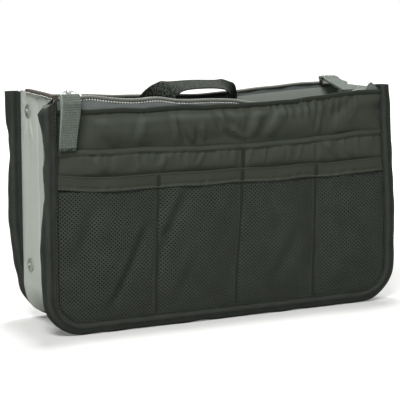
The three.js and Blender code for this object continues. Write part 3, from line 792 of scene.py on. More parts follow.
class BuildShells(bpy.types.Operator):
    """Outer nylon with its rolled top edge, lining of both walls, the edge and the lining darkened as painted
    shade, and the finish of the boards between them.
    """
    bl_idname = "organizer.shells"
    bl_label = "Shells and Linings"

    def execute(self, context):
        for seed, wall in enumerate(WALLS):
            self.shell(wall, seed)
            x, z = panel(2.0, lambda x: np.maximum(zip_height(x) - 4.2, LINING_TOP), 120, 48)
            sag = 0.18 * relief(x, z, 31 + seed, 60)
            turned = 0.35 * (1 - smooth(zip_height(x) - z, 8.2, 9.0)) * smooth(zip_height(x) - z, 4.2, 5.0)
            form = sheet_on(wall, x, z, 0.8 + 0 * sag, 0.1 + sag - turned)
            # the walls' lining takes the darker inner finish, painted shade inside the walls
            piece = sew(wall, "lining_cloth", form, "inner", "lining_nylon", ["lining"], FOLD_ANGLE)
            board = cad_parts[f"{wall}_stiffener"].data.materials
            board.clear()
            board.append(finish("board"))
        return {"FINISHED"}

    def shell(self, wall, seed):
        """Shell: flat behind the pockets, and above them a band that swells out under its rolled top edge, darker
        as painted shade under the zip, and draws in to the slip pocket, crossed by creases and by puckers that fade
        below the edge."""
        x, z = panel(2.0, shell_top, 220, 84)
        show = smooth(z, SLIP_TOP + 0.5, SLIP_TOP + 4)
        under = shell_top(x) - z
        share = np.clip((under - 2.8) / (shell_top(x) - SLIP_TOP - 2.8), 0, 1)
        ends = smooth(HALF - np.abs(x), 7, 24) * smooth(x, -119, -102)
        puckers = waves(x, 11 + seed, 8.0) * np.exp(-under / 8) * (0.3 + 0.5 * smooth(x, 20, 60))
        bulge = (3.5 - 0.6 * self.clear(x)) * ends * smooth(share, 0, 0.3) * (1 - smooth(share, 0.5, 1.0))
        clear = self.clear(x) * smooth(z, 154, 165)
        folds = np.clip(1.3 * creases(x, z, SHELL_CREASES) + 0.6 * relief(x, z, 21 + seed, 34), -2.3, 1.5)
        out = SHELL_OUT + clear + show * (bulge + ends * (np.clip(4 * share, 0, 1) * folds + puckers))
        inner = SHELL_IN + clear + show * 0.5 * bulge
        out = np.maximum(out, inner + 0.35)
        form = sheet_on(wall, x, z, out, inner)
        piece = sew(wall, "shell_cloth", form, "shell", "shell_nylon", ["shell"], FOLD_ANGLE)

        # rolled top edge: a half-round strip darkened as painted shade under the zip
        at = np.linspace(-HALF + 9, HALF - 7, 200)
        push = SHELL_OUT + self.clear(at) + 0.1 + 0.15 * waves(at, 15 + seed, 9)
        path = on_wall(wall, at, push, shell_top(at) - 1.4)
        piping = swept(path, facing(wall), normals(path, facing(wall)), oval(14, 0.85, 1.75))
        sew(wall, "shell_edge_roll", piping, "piping", "shell_nylon")

    def clear(self, x):
        """How far the shell's edge stands out to let the zip's tape rise behind it near the far end."""
        return 3.0 * smooth(x, 56, 104) * (1 - smooth(x, 139, 148))


def net_form():
    """Net as a sheet of diamond cells: corners lie on a shared lattice, a smaller diamond makes each hole,
    and the outer edges of the sheet are closed by quads."""
    wide = 500 * sizes().net_pitch
    tall = 0.9 * wide
    across, up = np.meshgrid(np.arange(-60, 61), np.arange(0, 90), indexing="ij")
    centre = np.stack([(2 * across + up % 2) * wide, 3.0 + up * tall], -1).reshape(-1, 2)
    x, low = columns_of(5.0, 60)
    inside = (np.abs(centre[:, 0]) < HALF - 5.5) & (centre[:, 1] < LOW_HEM + 2.2)
    inside &= centre[:, 1] > np.interp(centre[:, 0], x, low) + 1.5
    centre = centre[inside]
    ring = np.array([[0, tall], [-wide, 0], [0, -tall], [wide, 0]])
    corners = centre[:, None] + ring
    keys, index = np.unique(np.round(corners.reshape(-1, 2) * 50).astype(int), axis=0, return_inverse=True)
    index = index.reshape(-1, 4)
    lattice = np.zeros((len(keys), 2))
    lattice[index.ravel()] = corners.reshape(-1, 2)
    holes = (centre[:, None] + 0.5 * ring).reshape(-1, 2)
    flat = np.concatenate([lattice, holes])
    count = len(flat)
    inner = len(lattice) + np.arange(4 * len(index)).reshape(-1, 4)
    ahead = np.roll(np.arange(4), -1)
    bands = np.stack([index, index[:, ahead], inner[:, ahead], inner], -1).reshape(-1, 4)
    walls = np.stack([inner, inner[:, ahead], inner[:, ahead] + count, inner + count], -1).reshape(-1, 4)
    start, end = index.ravel(), index[:, ahead].ravel()
    lone = ~np.isin(start * count + end, end * count + start)
    rim = np.stack([end[lone], start[lone], start[lone] + count, end[lone] + count], -1)
    x, z = flat.T
    puff = bay_puff(x, z)
    rise = smooth(z, 12, 24) * smooth(puff, 0.1, 0.9)
    out = LOW_OUT + puff + rise * np.maximum(
        creases(x, z, NET_CREASES) + 0.5 * relief(x, z, 41, 30), -0.25 - 0.7 * puff)
    points = np.concatenate([on_wall("front", x, out, z), on_wall("front", x, out - 0.3, z)])
    faces = np.concatenate([bands, bands[:, ::-1] + count, walls, rim])
    return Form(points, [faces], np.tile(flat / 1000, (2, 1))).outwards()


class BuildPockets(bpy.types.Operator):
    """Slip pockets, the net and plain low pockets, their hems, seams and stitches."""
    bl_idname = "organizer.pockets"
    bl_label = "Pockets"

    def execute(self, context):
        for seed, wall in enumerate(WALLS):
            self.slip(wall, seed)
            if wall == "front":
                piece = place("front_net", net_form(), "net", "front_wall", ["front_low_pocket"], "mesh_net")
            else:
                x, z = panel(5.0, LOW_HEM + 3, 150, 48)
                out = LOW_OUT + bay_puff(x, z) + 0.2 * smooth(z, 12, 24) * relief(x, z, 45, 32)
                piece = place("back_low_cloth", sheet_on("back", x, z, out, out - 0.55), "shell", "back_wall",
                              ["back_low_pocket"], "shell_nylon", FOLD_ANGLE)
            self.hem(wall, seed)
        return {"FINISHED"}

    def slip(self, wall, seed):
        """Slip pocket: a flat sheet with a folded edge on top, standing off between its seams and drawn in
        along the stitch line under that edge."""
        x, z = panel(4.5, lambda x: SLIP_TOP + self.dip(x), 220, 96)
        z_hem = SLIP_HEM + self.dip(x)
        free = smooth(z, LOW_TOP + 0.5, LOW_TOP + 6)
        fold = 0.9 * smooth(z, z_hem - 0.1, z_hem + 0.5) - 0.4 * bell(z, z_hem - 0.6, 0.7)
        ripple = 0.5 * waves(x, 51 + seed, 8) * np.exp(-np.abs(z_hem - 2 - z) / 4)
        folds = np.maximum(creases(x, z, SLIP_CREASES) + ripple + 0.4 * relief(x, z, 55 + seed, 24), -0.5)
        out = SLIP_OUT + self.gape(x, z) + fold + free * (1 - smooth(z, z_hem - 1, z_hem)) * folds
        inner = np.minimum(SLIP_IN + 0.9 * self.gape(x, z), out - 0.4)
        form = sheet_on(wall, x, z, out, inner)
        # the slip cloth's finish darkens it below the low pocket's hem: painted shade behind the pocket
        piece = sew(wall, "slip_cloth", form, "slip", "shell_nylon", ["slip_pocket", "slip_hem"], FOLD_ANGLE)
        at = np.linspace(-HALF + 9, HALF - 9, 160)
        line = SLIP_HEM + self.dip(at) - 0.5
        row = stitches(on_wall(wall, at, SLIP_OUT - 0.1 + self.gape(at, line), line), facing(wall))
        low = np.linspace(LOW_TOP - 6, SLIP_HEM - 1, 16)
        fold = self.seam(wall, SLIP_SEAM + 0 * low, SLIP_OUT + 0.1 + 0 * low, low)
        sew(wall, "slip_seam", fold, "seam", "shell_nylon")
        sew(wall, "slip_stitches", row, "thread", "shell_nylon")

    def gape(self, x, z):
        """How far the slip pocket stands off: an arch over the free band, nought at its ends and at its seam."""
        held = bell(x, 12, 6) + bell(x, 8 - HALF, 12) + bell(x, HALF - 8, 12) + 0.35 * bell(x, 77, 4)
        share = np.clip((z - LOW_TOP) / (SLIP_TOP - LOW_TOP), 0, 1)
        return np.clip(1 - held, 0, 1) * (1.2 * share + 1.5 * np.sin(np.pi * share ** 0.8))

    def dip(self, x):
        """How far the slip pocket's edge lies above its height: a little below in the middle, above at the ends."""
        return -1.9 * bell(x, 0, 55) + 3.4 * smooth(x, 50, 140) + 0.3 * waves(x, 57, 40)

    def seam(self, wall, x, out, z):
        """Seam: a flat oval fold carried along a line that runs down the wall."""
        path = on_wall(wall, x, out, z)
        return swept(path, normals(path, facing(wall)), facing(wall), oval(10, SEAM_HALF, 0.3))

    def hem(self, wall, seed):
        """Hem of the low pocket: a folded band over the pocket's upper edge with a rolled lower edge; it sags
        between the seams, and the seams' stitches run down below it."""
        x = level_grid(-HALF + 6, HALF - 6, 240, 30)
        share = np.linspace(0, 1, 30)[None]
        z = LOW_HEM - 0.2 + (LOW_TOP - LOW_HEM + 0.2) * share + self.rise(x)
        flat = smooth(HALF - np.abs(x), 9, 20)
        ripple = flat * (0.4 * waves(x, 61 + seed, 7) * bell(share, 0.1, 0.35) + 0.2 * relief(x, z, 65, 20))
        roll = 0.5 * bell(share, 0.08, 0.07) - 0.3 * bell(share, 0.24, 0.08) + 0.4 * bell(share, 0.95, 0.06)
        base = bay_puff(x, z)
        out = LOW_OUT + 0.4 + base + flat * (0.4 + roll + np.maximum(ripple, -0.15))
        inner = LOW_OUT + 0.12 * flat + base - 0.7 * smooth(share, 0.42, 0.5)
        look, slot = ("hem", "mesh_net") if wall == "front" else ("shell", "shell_nylon")
        piece = sew(wall, "low_hem_band", sheet_on(wall, x, z, out, inner), look, slot, ["low_hem"], FOLD_ANGLE)
        at = np.linspace(-HALF + 10, HALF - 10, 170)
        line = LOW_HEM + 0.7 + self.rise(at)
        path = on_wall(wall, at, LOW_OUT + 1.25 + bay_puff(at, line), line)
        # a nearly continuous row of real stitches in the lighter thread, also a painted highlight along the rolled
        # lower edge
        row = stitches(path, facing(wall), 2.8, 0.34, 0.95)
        sew(wall, "hem_stitches", row, "hem_thread", slot)
        up = np.linspace(BINDING_WIDTH - 2.5, LOW_TOP - 0.5, 50)
        over_hem = 0.95 * smooth(up, LOW_HEM - 1, LOW_HEM + 1)
        folds = [self.seam(wall, seam - bend * (1 - smooth(up, 10, 100)), LOW_OUT + over + over_hem, up)
                 for seam, bend, over in zip(SEAMS, SEAM_BENDS, (0.15, 0.2, 0.15))]
        sew(wall, "low_seams", joined(folds), "seam", slot)

    def rise(self, x):
        """How far the hem lies above its height: drawn up to the binding at both ends, most at the left."""
        left, right = 1 - smooth(x, -HALF + 6, -HALF + 44), smooth(x, 85, HALF - 6)
        return 3.6 * left + 1.4 * right - 0.4 * bell(x, 40, 30) + 0.25 * waves(x, 67, 50)


# Front binding's edge inwards over the length gone, and the binding's profile as shares of its width and lifts of
# its outer and inner flaps, then of the lining of the fold

BINDING_EDGE = ((0, 4, 9, 15, 26, 40, 50, 59, 69, 78, 93, 107, 122, 136, 150),
                (1.5, 0.2, -1.2, -0.6, 2.0, 2.6, 1.6, 2.0, 2.9, 1.2, -0.3, -1.2, -0.9, -0.5, 0))
BINDING_SHARES = np.array([1, 0.97, 0.92, 0.85, 0.78, 0.66, 0.5, 0.32, 0.15, 0.04, 0])
BINDING_LIFTS = np.array([-0.7, -0.1, 0.1, -0.45, 0.05, 0.65, 0.9, 0.75, 0.1, -0.9, -2.2])
INSIDE_SHARES = np.array([1, 0.85, 0.5, 0.12, 0.12, 0.5, 0.85, 1])
INSIDE_LIFTS = np.array([0.9, 0.8, 0.7, 1.6]), np.array([2.0, 0.9, 1.2, 1.3])


class BuildBindings(bpy.types.Operator):
    """Binding tape folded round the sides, corners and bottom of each wall, with its row of stitches."""
    bl_idname = "organizer.bindings"
    bl_label = "Bindings"

    def execute(self, context):
        for seed, wall in enumerate(WALLS):
            path, inward = self.outline()
            gone = lengths_along(path)
            wander = 1000 * sizes().binding_wave
            edge, last = 0.5 * wander * waves(gone, 71 + seed, 34), gone[-1]
            flare, raised = np.zeros_like(gone), 2.0 * smooth(gone, last - 25, last)
            if wall == "front":
                edge += np.interp(gone, *BINDING_EDGE)
                flare = 2.0 * bell(gone, 9, 8)
            else:
                edge += 1.6 * bell(gone, last - 178, 22) + 1.5 * smooth(gone, last - 75, last - 45)
                edge -= 2.6 * smooth(gone, last - 32, last - 20)
            width = BINDING_WIDTH + 0.4 + 0.6 * wander * waves(gone, 75 + seed, 22)
            slant = 6.5 * np.clip(1 - gone / 12, 0, 1) if wall == "front" else 0 * gone
            form = self.fold(wall, path, inward, width, edge, flare, raised, slant)
            piece = sew(wall, "binding_fold", form, "binding", "binding_tape", ["binding"], FOLD_ANGLE)
            x, z = (path + inward * (0.85 * width)[:, None])[3:-3].T
            rows = [stitches(on_wall(wall, x, lift, z), side * facing(wall))
                    for lift, side in ((BINDING_OUT - 0.35, 1), (BINDING_IN + 0.05, -1))]
            sew(wall, "binding_stitches", joined(rows), "thread", "binding_tape")
        return {"FINISHED"}

    def outline(self):
        """Edge of a wall in x and z, and the inward direction there: side, quarter circle, bottom, quarter
        circle, side, stepped about every 1.6 mm."""
        down = np.linspace(TOP, CORNER, 86)[:-1]
        turn = np.linspace(0, np.pi / 2, 37)
        level = np.linspace(CORNER - HALF, HALF - CORNER, 142)[1:-1]
        left = np.column_stack([np.full(85, -HALF), down])
        arc = np.column_stack([CORNER - HALF - CORNER * np.cos(turn), CORNER - CORNER * np.sin(turn)])
        path = np.concatenate([left, arc, np.column_stack([level, np.zeros(140)]),
                               (arc * [-1, 1])[::-1], (left * [-1, 1])[::-1]])
        into = np.column_stack([np.cos(turn), np.sin(turn)])
        side = np.tile([[1.0, 0.0]], (85, 1))
        inward = np.concatenate([side, into, np.tile([[0.0, 1.0]], (140, 1)), (into * [-1, 1])[::-1], -side])
        return path, inward

    def fold(self, wall, path, inward, width, edge, flare, raised, slant):
        """U profile: a puffed outer flap with a groove for its stitches, a rounded edge and an inner flap, given
        thickness, and carried along the outline; each profile's width and edge change along the path, its end is
        raised, and its start is cut on the slant."""
        share = np.concatenate([BINDING_SHARES, BINDING_SHARES[::-1], INSIDE_SHARES])
        rise = np.concatenate([BINDING_OUT + BINDING_LIFTS, BINDING_IN - 0.5 * BINDING_LIFTS[::-1],
                               BINDING_IN + INSIDE_LIFTS[0], BINDING_OUT - INSIDE_LIFTS[1]])
        inset = edge[:, None] * (1 - share) + width[:, None] * share
        out = rise - flare[:, None] * 0.8 * (1 - share) ** 2 * (rise < 2)
        flat = path[:, None] + inward[:, None] * inset[..., None]
        points = on_wall(wall, flat[..., 0], out, flat[..., 1] + raised[:, None] - slant[:, None] * (1 - share))
        gone = np.broadcast_to(lengths_along(path)[:, None], inset.shape)
        return tube(points, np.stack([gone, inset], -1) / 1000)


class BuildZips(bpy.types.Operator):
    """Tapes, teeth, end stops and loose tails of both zips."""
    bl_idname = "organizer.zips"
    bl_label = "Zips"

    def execute(self, context):
        for seed, wall in enumerate(WALLS):
            for label in ("outer", "inner"):
                x = level_grid(ZIP_LEFT, ZIP_RIGHT, 160, 20)
                start = depth(f"zip_{label}_tape")[0]
                z = TAPE_LOW + (zip_line(wall, x) - 1.0 - TAPE_LOW) * np.linspace(0, 1, 20)
                wavy = 0.25 * waves(x, 81 + seed, 16) * smooth(z, LINING_TOP + 0.5, LINING_TOP + 4)
                form = sheet_on(wall, x, z, start + TAPE_THICK + wavy, start + wavy)
                piece = sew(wall, f"zip_{label}_strip", form, "tape", "zip_tape", [f"zip_{label}_tape"], FOLD_ANGLE)
            at = np.linspace(ZIP_LEFT + 6, 100, 150)
            path = on_wall(wall, at, depth("zip_outer_tape")[1] + 0.25, zip_line(wall, at) - 1.9)
            row = stitches(path, facing(wall), 2.2, 0.5, 0.6)
            sew(wall, "zip_stitches", row, "pale_thread", "zip_tape")
            self.teeth(wall)
            self.tail(wall)
        self.flap()
        return {"FINISHED"}

    def flap(self):
        """Loose end of the front zip's outer tape: a hump of straight steps that stands up past the shell's edge
        at the right."""
        x = level_grid(FLAP_LEFT, FLAP_RIGHT, 40, 20)
        high = np.interp(x, (FLAP_LEFT, 124, 127.5, 130, 132.5, 136.5, FLAP_RIGHT),
                         (161, 165, 172, 175, 176.3, 173.6, 171.2))
        low = SHELL_TOP - 3.0
        z = low + (high - low) * np.linspace(0, 1, 20)
        out = depth("zip_outer_tape")[0] + 3.2 + 0.25 * waves(x, 81, 16) * smooth(z, low, low + 4)
        piece = place("front_zip_end_flap", sheet_on("front", x, z, out + TAPE_THICK, out), "tape", "front_wall",
                      slot="zip_tape", crisp=FOLD_ANGLE)
        low / 1000
        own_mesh(piece)

    def teeth(self, wall):
        """Zip chain: a bead along the zip's line with two rows of capsules across it, half a pitch apart."""
        pitch = 1000 * sizes().tooth
        line = np.linspace(ZIP_LEFT + 0.4, ZIP_RIGHT - 0.4, 140)
        path = on_wall(wall, line, CHAIN_OUT, zip_line(wall, line) - 0.05)
        bead = swept(path, facing(wall), normals(path, facing(wall)), oval(10, 1.8, 1.25))
        count = int((ZIP_RIGHT - ZIP_LEFT - 2) / pitch)
        at = ZIP_LEFT + 1 + pitch * (np.arange(2 * count) + 0.5) / 2
        side = np.where(np.arange(2 * count) % 2, 0.75, -0.75)
        one = lathe([0, 0.42, 0.55, 0.55, 0.42, 0], [-1.25, -1.05, -0.5, 0.5, 1.05, 1.25], 6)
        turns = np.tile(np.array([[1, 0, 0], [0, 0, 2.6], [0, 1, 0]], float), (len(at), 1, 1))
        row = repeated(one, on_wall(wall, at, CHAIN_OUT + side, zip_line(wall, at) - 0.05), turns)
        sew(wall, "zip_teeth", bead + row, "teeth", "zip_teeth", ["zip_chain"])
        low, high = span(f"{wall}_zip_stop")
        wide, deep = (high - low)[:2] / 2
        stop = plate(oval(10, wide, deep, 0.5, 0.5), -1.1, 1.1, 0.4).moved(np.eye(3), (low + high) / 2)
        sew(wall, "zip_end_stop", stop, "metal", "zip_metal", ["zip_stop"], METAL_ANGLE)

    def tail(self, wall):
        """Loose end of the zip: a thick strip carried nearly straight over the gusset, with a row of dashes along
        its lower edge."""
        low, high = span(f"{wall}_zip_tail")
        turn = 1 if wall == "front" else -1
        share = np.linspace(0, 1, 60)
        start, end = (low[1], high[1]) if wall == "front" else (high[1], low[1])
        path = np.stack([np.full(60, (low[0] + high[0]) / 2) + 0.3 * waves(share, 91, 0.5),
                         start + (end - start) * share,
                         low[2] + 0.9 + turn * 1.6 * share + 0.3 * np.sin(np.pi * share)], -1)
        away = np.array([turn, 0, 0.0])
        form = swept(path, away, normals(path, away), oval(14, 2.0, 1.5, 0.5, 0.5))
        look = "tail" if wall == "front" else "tape"
        piece = sew(wall, "zip_tail_strip", form, look, "zip_teeth", ["zip_tail"], FOLD_ANGLE)
        row = stitches(path - 2.0 * away - [0, 0, 0.9], -away, 2.4, 0.4, 0.55)
        dashes = sew(wall, "zip_tail_dashes", row, "pale_thread", "zip_teeth")
        for soft in (piece, dashes):
            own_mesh(soft)


def at_slider(wall, points, height):
    """World points of places in a slider's own axes: along the wall, inwards and up from a height."""
    return on_wall(wall, SLIDER_X + points[:, 0], CHAIN_OUT - points[:, 1], height + points[:, 2])


class BuildPulls(bpy.types.Operator):
    """Sliders, rings and webbing pull tabs of both zips."""
    bl_idname = "organizer.pulls"
    bl_label = "Zip Pulls"

    def execute(self, context):
        for wall, ring_turn, tab_turn in (("front", 207.0, -90.0), ("back", -5.0, -5.0)):
            self.slider(wall)
            self.ring(wall, math.radians(ring_turn))
            self.tab(wall, math.radians(ring_turn), math.radians(tab_turn))
        return {"FINISHED"}

    def slider(self, wall):
        """Slider: a rounded upper plate wide at one end, a lower plate, side flanges and a crown with an eye."""
        t = circle(28)
        wide = (2.9 + 0.35 * np.cos(t)) * squared(np.sin(t), 0.6)
        form = plate(np.column_stack([5.0 * squared(np.cos(t), 0.7), wide]), 1.5, 2.8, 0.45)
        flange = np.array([[-3.4, 2.45], [3.4, 2.45], [3.6, 2.8], [3.4, 3.2], [-3.4, 3.2], [-3.6, 2.8]])
        for side in (-1, 1):
            form = form + plate(flange * [1, side], -1.5, 1.6, 0.15)
        arch = np.linspace(0, np.pi, 20)
        crown = np.stack([0 * arch, EYE_RADIUS * np.cos(arch), 4.3 + EYE_RADIUS * np.sin(arch)], -1)
        path = np.concatenate([[[0, EYE_RADIUS, 2.6]], crown, [[0, -EYE_RADIUS, 2.6]]])
        side = np.array([1.0, 0, 0])
        form = form + swept(path, side, normals(path, side), oval(10, 1.5, 0.5))
        form = Form(at_slider(wall, form.points, ZIP_START), form.faces)
        sew(wall, "slider_body", form, "metal", "zip_metal", ["zip_slider"], METAL_ANGLE, "zip_slider")

    def ring(self, wall, turn):
        """Ring: round wire along a rectangle with rounded corners, narrower and arched at the slider's eye, turned
        about that eye."""
        x, reach = (oval(64, RING_HALF, RING_REACH / 2, 0.3, 0.3) + [0, RING_REACH / 2]).T
        x = x * (0.6 + 0.4 * reach / RING_REACH)
        arch = 0.7 * (1 - reach / RING_REACH) * (1 - (x / RING_HALF) ** 2)
        path = np.stack([x, reach * math.cos(turn), reach * math.sin(turn) + arch], -1)
        away = np.array([0, -math.sin(turn), math.cos(turn)])
        side = unit(np.cross(away, np.roll(path, -1, 0) - np.roll(path, 1, 0)))
        form = swept(path, side, away, oval(10, 0.72, 0.72), closed=True)
        form = Form(at_slider(wall, form.points, EYE_Z), form.faces).outwards()
        sew(wall, "ring_wire", form, "metal", "zip_metal", ["zip_ring"], body="zip_pull")

    def tab(self, wall, ring_turn, turn):
        """Pull tab: webbing that goes along one layer, round the ring's bar and back along the other; the
        path lies in a plane across the bar, its free end leans sideways and frays into short fibres."""
        run = np.linspace(TAB_END, 4.0, 40)
        apart = 0.47 + 0.9 * (1 - smooth(run, 4.0, 9.0))
        bend = np.linspace(np.pi / 2, 1.5 * np.pi, 18)[1:-1]
        far = np.concatenate([run, 1.4 * np.cos(bend), run[::-1]])
        lift = np.concatenate([apart, 1.4 * np.sin(bend), -apart[::-1]])
        path = self.tab_place(wall, ring_turn, turn, far, lift)
        side = np.array([1.0, 0, 0])
        profile = oval(16, TAB_HALF, TAB_THICK / 2, 0.15, 0.4)
        taper = 1 - 0.14 * smooth(far, 8, TAB_END)
        form = swept(path, side, normals(path * [0, 1, 1], side),
                     profile * np.stack([taper, 1 + 0 * far], -1)[:, None])
        draw, none = np.random.default_rng(5), np.zeros(TAB_FIBRES)
        aside = draw.uniform(-6.2, 6.2, TAB_FIBRES)
        ends = self.tab_place(wall, ring_turn, turn, none + TAB_END, draw.uniform(-0.8, 0.8, TAB_FIBRES))
        ends = ends + np.column_stack([aside, none, none])
        near, beyond = (self.tab_place(wall, ring_turn, turn, none + TAB_END + step, none) for step in (0, 1))
        ahead = unit(beyond - near + draw.normal(0, 0.22, (TAB_FIBRES, 3)))
        across = unit(np.cross(ahead, np.cross(side, ahead)))
        fibre = lathe([0, 0.28, 0.26, 0.16, 0], [-1.2, -0.8, 0.2, 1.6, 2.2], 5)
        form = form.outwards() + repeated(fibre, ends, np.stack([across, np.cross(ahead, across), ahead], 1))
        form = Form(at_slider(wall, form.points, EYE_Z), form.faces, form.strip)
        sew(wall, "pull_tab", form, "tab", "webbing", ["zip_tab"], FOLD_ANGLE, "zip_pull")

    def tab_place(self, wall, ring_turn, turn, far, lift):
        """Point of a tab by its distance from the bar and its height over the tab's middle, with lean and droop."""
        aside = -1.5 - 2.5 * smooth(far, 0, 40) if wall == "front" else 1.2 + 2.0 * smooth(far, 0, 30)
        share = np.clip(far / TAB_END, 0, 1)
        droop = 0 * far if wall == "front" else -5.0 * share ** 1.5
        bow = -2.3 * np.sin(np.pi * share ** 0.5) - 1.6 * share if wall == "front" else 0 * far
        inwards = RING_REACH * math.cos(ring_turn) + far * math.cos(turn) - lift * math.sin(turn) + bow
        up = RING_REACH * math.sin(ring_turn) + far * math.sin(turn) + lift * math.cos(turn) + droop
        return np.stack([aside, inwards, up], -1)


# Left half of the standing handle as x, inwards and z, and the direction of its width there

HANDLE_PATH = [(-FOOT_X, 0.9, FOOT_LOW), (-FOOT_X, 0.9, FOOT_LOW + 8.5), (-FOOT_X, 0.9, HINGE),
               (-FOOT_X - 0.5, 6.2, HINGE + 4.5), (-30.5, 13.2, HINGE + 9.5), (-25.0, 16.0, HINGE + 15.0),
               (-17.0, 16.4, HINGE + 17.3)]
HANDLE_WIDTHS = [(1, 0, 0), (1, 0, 0), (1, 0, 0), (0.75, 0.5, -0.4), (0.53, 0.65, -0.55), (0.3, 0.88, -0.38),
                 (0.08, 0.96, -0.24)]
FOOT_BOX = ((-8, 2), (8, 2), (8, 14), (-8, 14), (-8, 2)), ((-8, 2), (8, 14)), ((8, 2), (-8, 14))
HANG_RADIUS, HANG_DEPTH, HANG_DROP, FOLD_RADIUS = 11, 2.6, 36, 0.85


class BuildHandles(bpy.types.Operator):
    """Webbing handles: the back one stands, the front one hangs inside; each is sewn on at two feet."""
    bl_idname = "organizer.handles"
    bl_label = "Handles"

    def strap(self, wall, path, side):
        """Flat strap with rounded edges, carried along a path given as x, inwards and z."""
        form = swept(path, side, normals(path, side), oval(20, STRAP_WIDTH / 2, STRAP_THICK / 2, 0.12, 0.5))
        points = on_wall(wall, form.points[:, 0], -form.points[:, 1], form.points[:, 2])
        return Form(points, form.faces, form.strip).outwards()

    def sewn(self, wall):
        """Stitches of both feet: a box with a cross in it."""
        rows, share = [], np.linspace(0, 1, 12)
        for side in (-1, 1):
            for a, b in (pair for line in FOOT_BOX for pair in zip(line, line[1:])):
                at = FOOT_X * side + a[0] + (b[0] - a[0]) * share
                path = on_wall(wall, at, -1.55, FOOT_LOW + a[1] + (b[1] - a[1]) * share)
                rows.append(stitches(path, -facing(wall), 2.4))
        sew(wall, "handle_stitches", joined(rows), "pale_thread", "webbing")

    def execute(self, context):
        path = curve(HANDLE_PATH + [(0, 16.4, HINGE + 18.1)] + [(-x, y, z) for x, y, z in HANDLE_PATH[::-1]], 8)
        side = curve(HANDLE_WIDTHS + [(0, 0.97, -0.22)] + [(-x, y, z) for x, y, z in HANDLE_WIDTHS[::-1]], 8)
        tangent = tangents(path)
        side = unit(side - tangent * (side * tangent).sum(1, keepdims=True))
        feet = self.strap("back", path[:17], side[:17]) + self.strap("back", path[-17:], side[-17:])
        place("back_handle_feet", feet, "webbing", "back_wall",
              ["back_handle_left_foot", "back_handle_right_foot"], "webbing", FOLD_ANGLE)
        loop = place("back_handle_strap", self.strap("back", path[16:-16], side[16:-16]), "webbing", "back_handle",
                     ["back_handle"], "webbing", FOLD_ANGLE)
        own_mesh(loop)
        self.sewn("back")

        low, over, r = HINGE - HANG_DROP + STRAP_WIDTH / 2, HINGE + 0.3, HANG_RADIUS
        half_turn, quarter = np.linspace(0, np.pi, 12)[1:-1], np.linspace(0, np.pi / 2, 16)[1:-1]
        runs = ((-FOOT_X, 0.9, np.linspace(FOOT_LOW, over, 10)),
                (-FOOT_X, HANG_DEPTH - FOLD_RADIUS - FOLD_RADIUS * np.cos(half_turn),
                 over + FOLD_RADIUS * np.sin(half_turn)),
                (-FOOT_X, HANG_DEPTH, np.linspace(over, low + r, 12)),
                (-FOOT_X + r - r * np.cos(quarter), HANG_DEPTH, low + r - r * np.sin(quarter)),
                (np.linspace(-FOOT_X + r, 0, 10), HANG_DEPTH, low))
        left = np.concatenate([np.column_stack(np.broadcast_arrays(*run)) for run in runs])
        path = np.concatenate([left, (left * [-1, 1, 1])[-2::-1]])
        side = np.cross([0.0, 1.0, 0.0], tangents(path))
        turned = np.zeros(len(path), bool)
        turned[:20] = turned[-20:] = True
        side[turned] = np.sign(path[turned, :1]) * [1.0, 0, 0]
        piece = place("front_handle_strap", self.strap("front", path, unit(side)), "webbing", None,
                      ["front_handle", "front_handle_left_foot", "front_handle_right_foot"], "webbing", FOLD_ANGLE)
        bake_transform(piece)
        self.sewn("front")
        return {"FINISHED"}


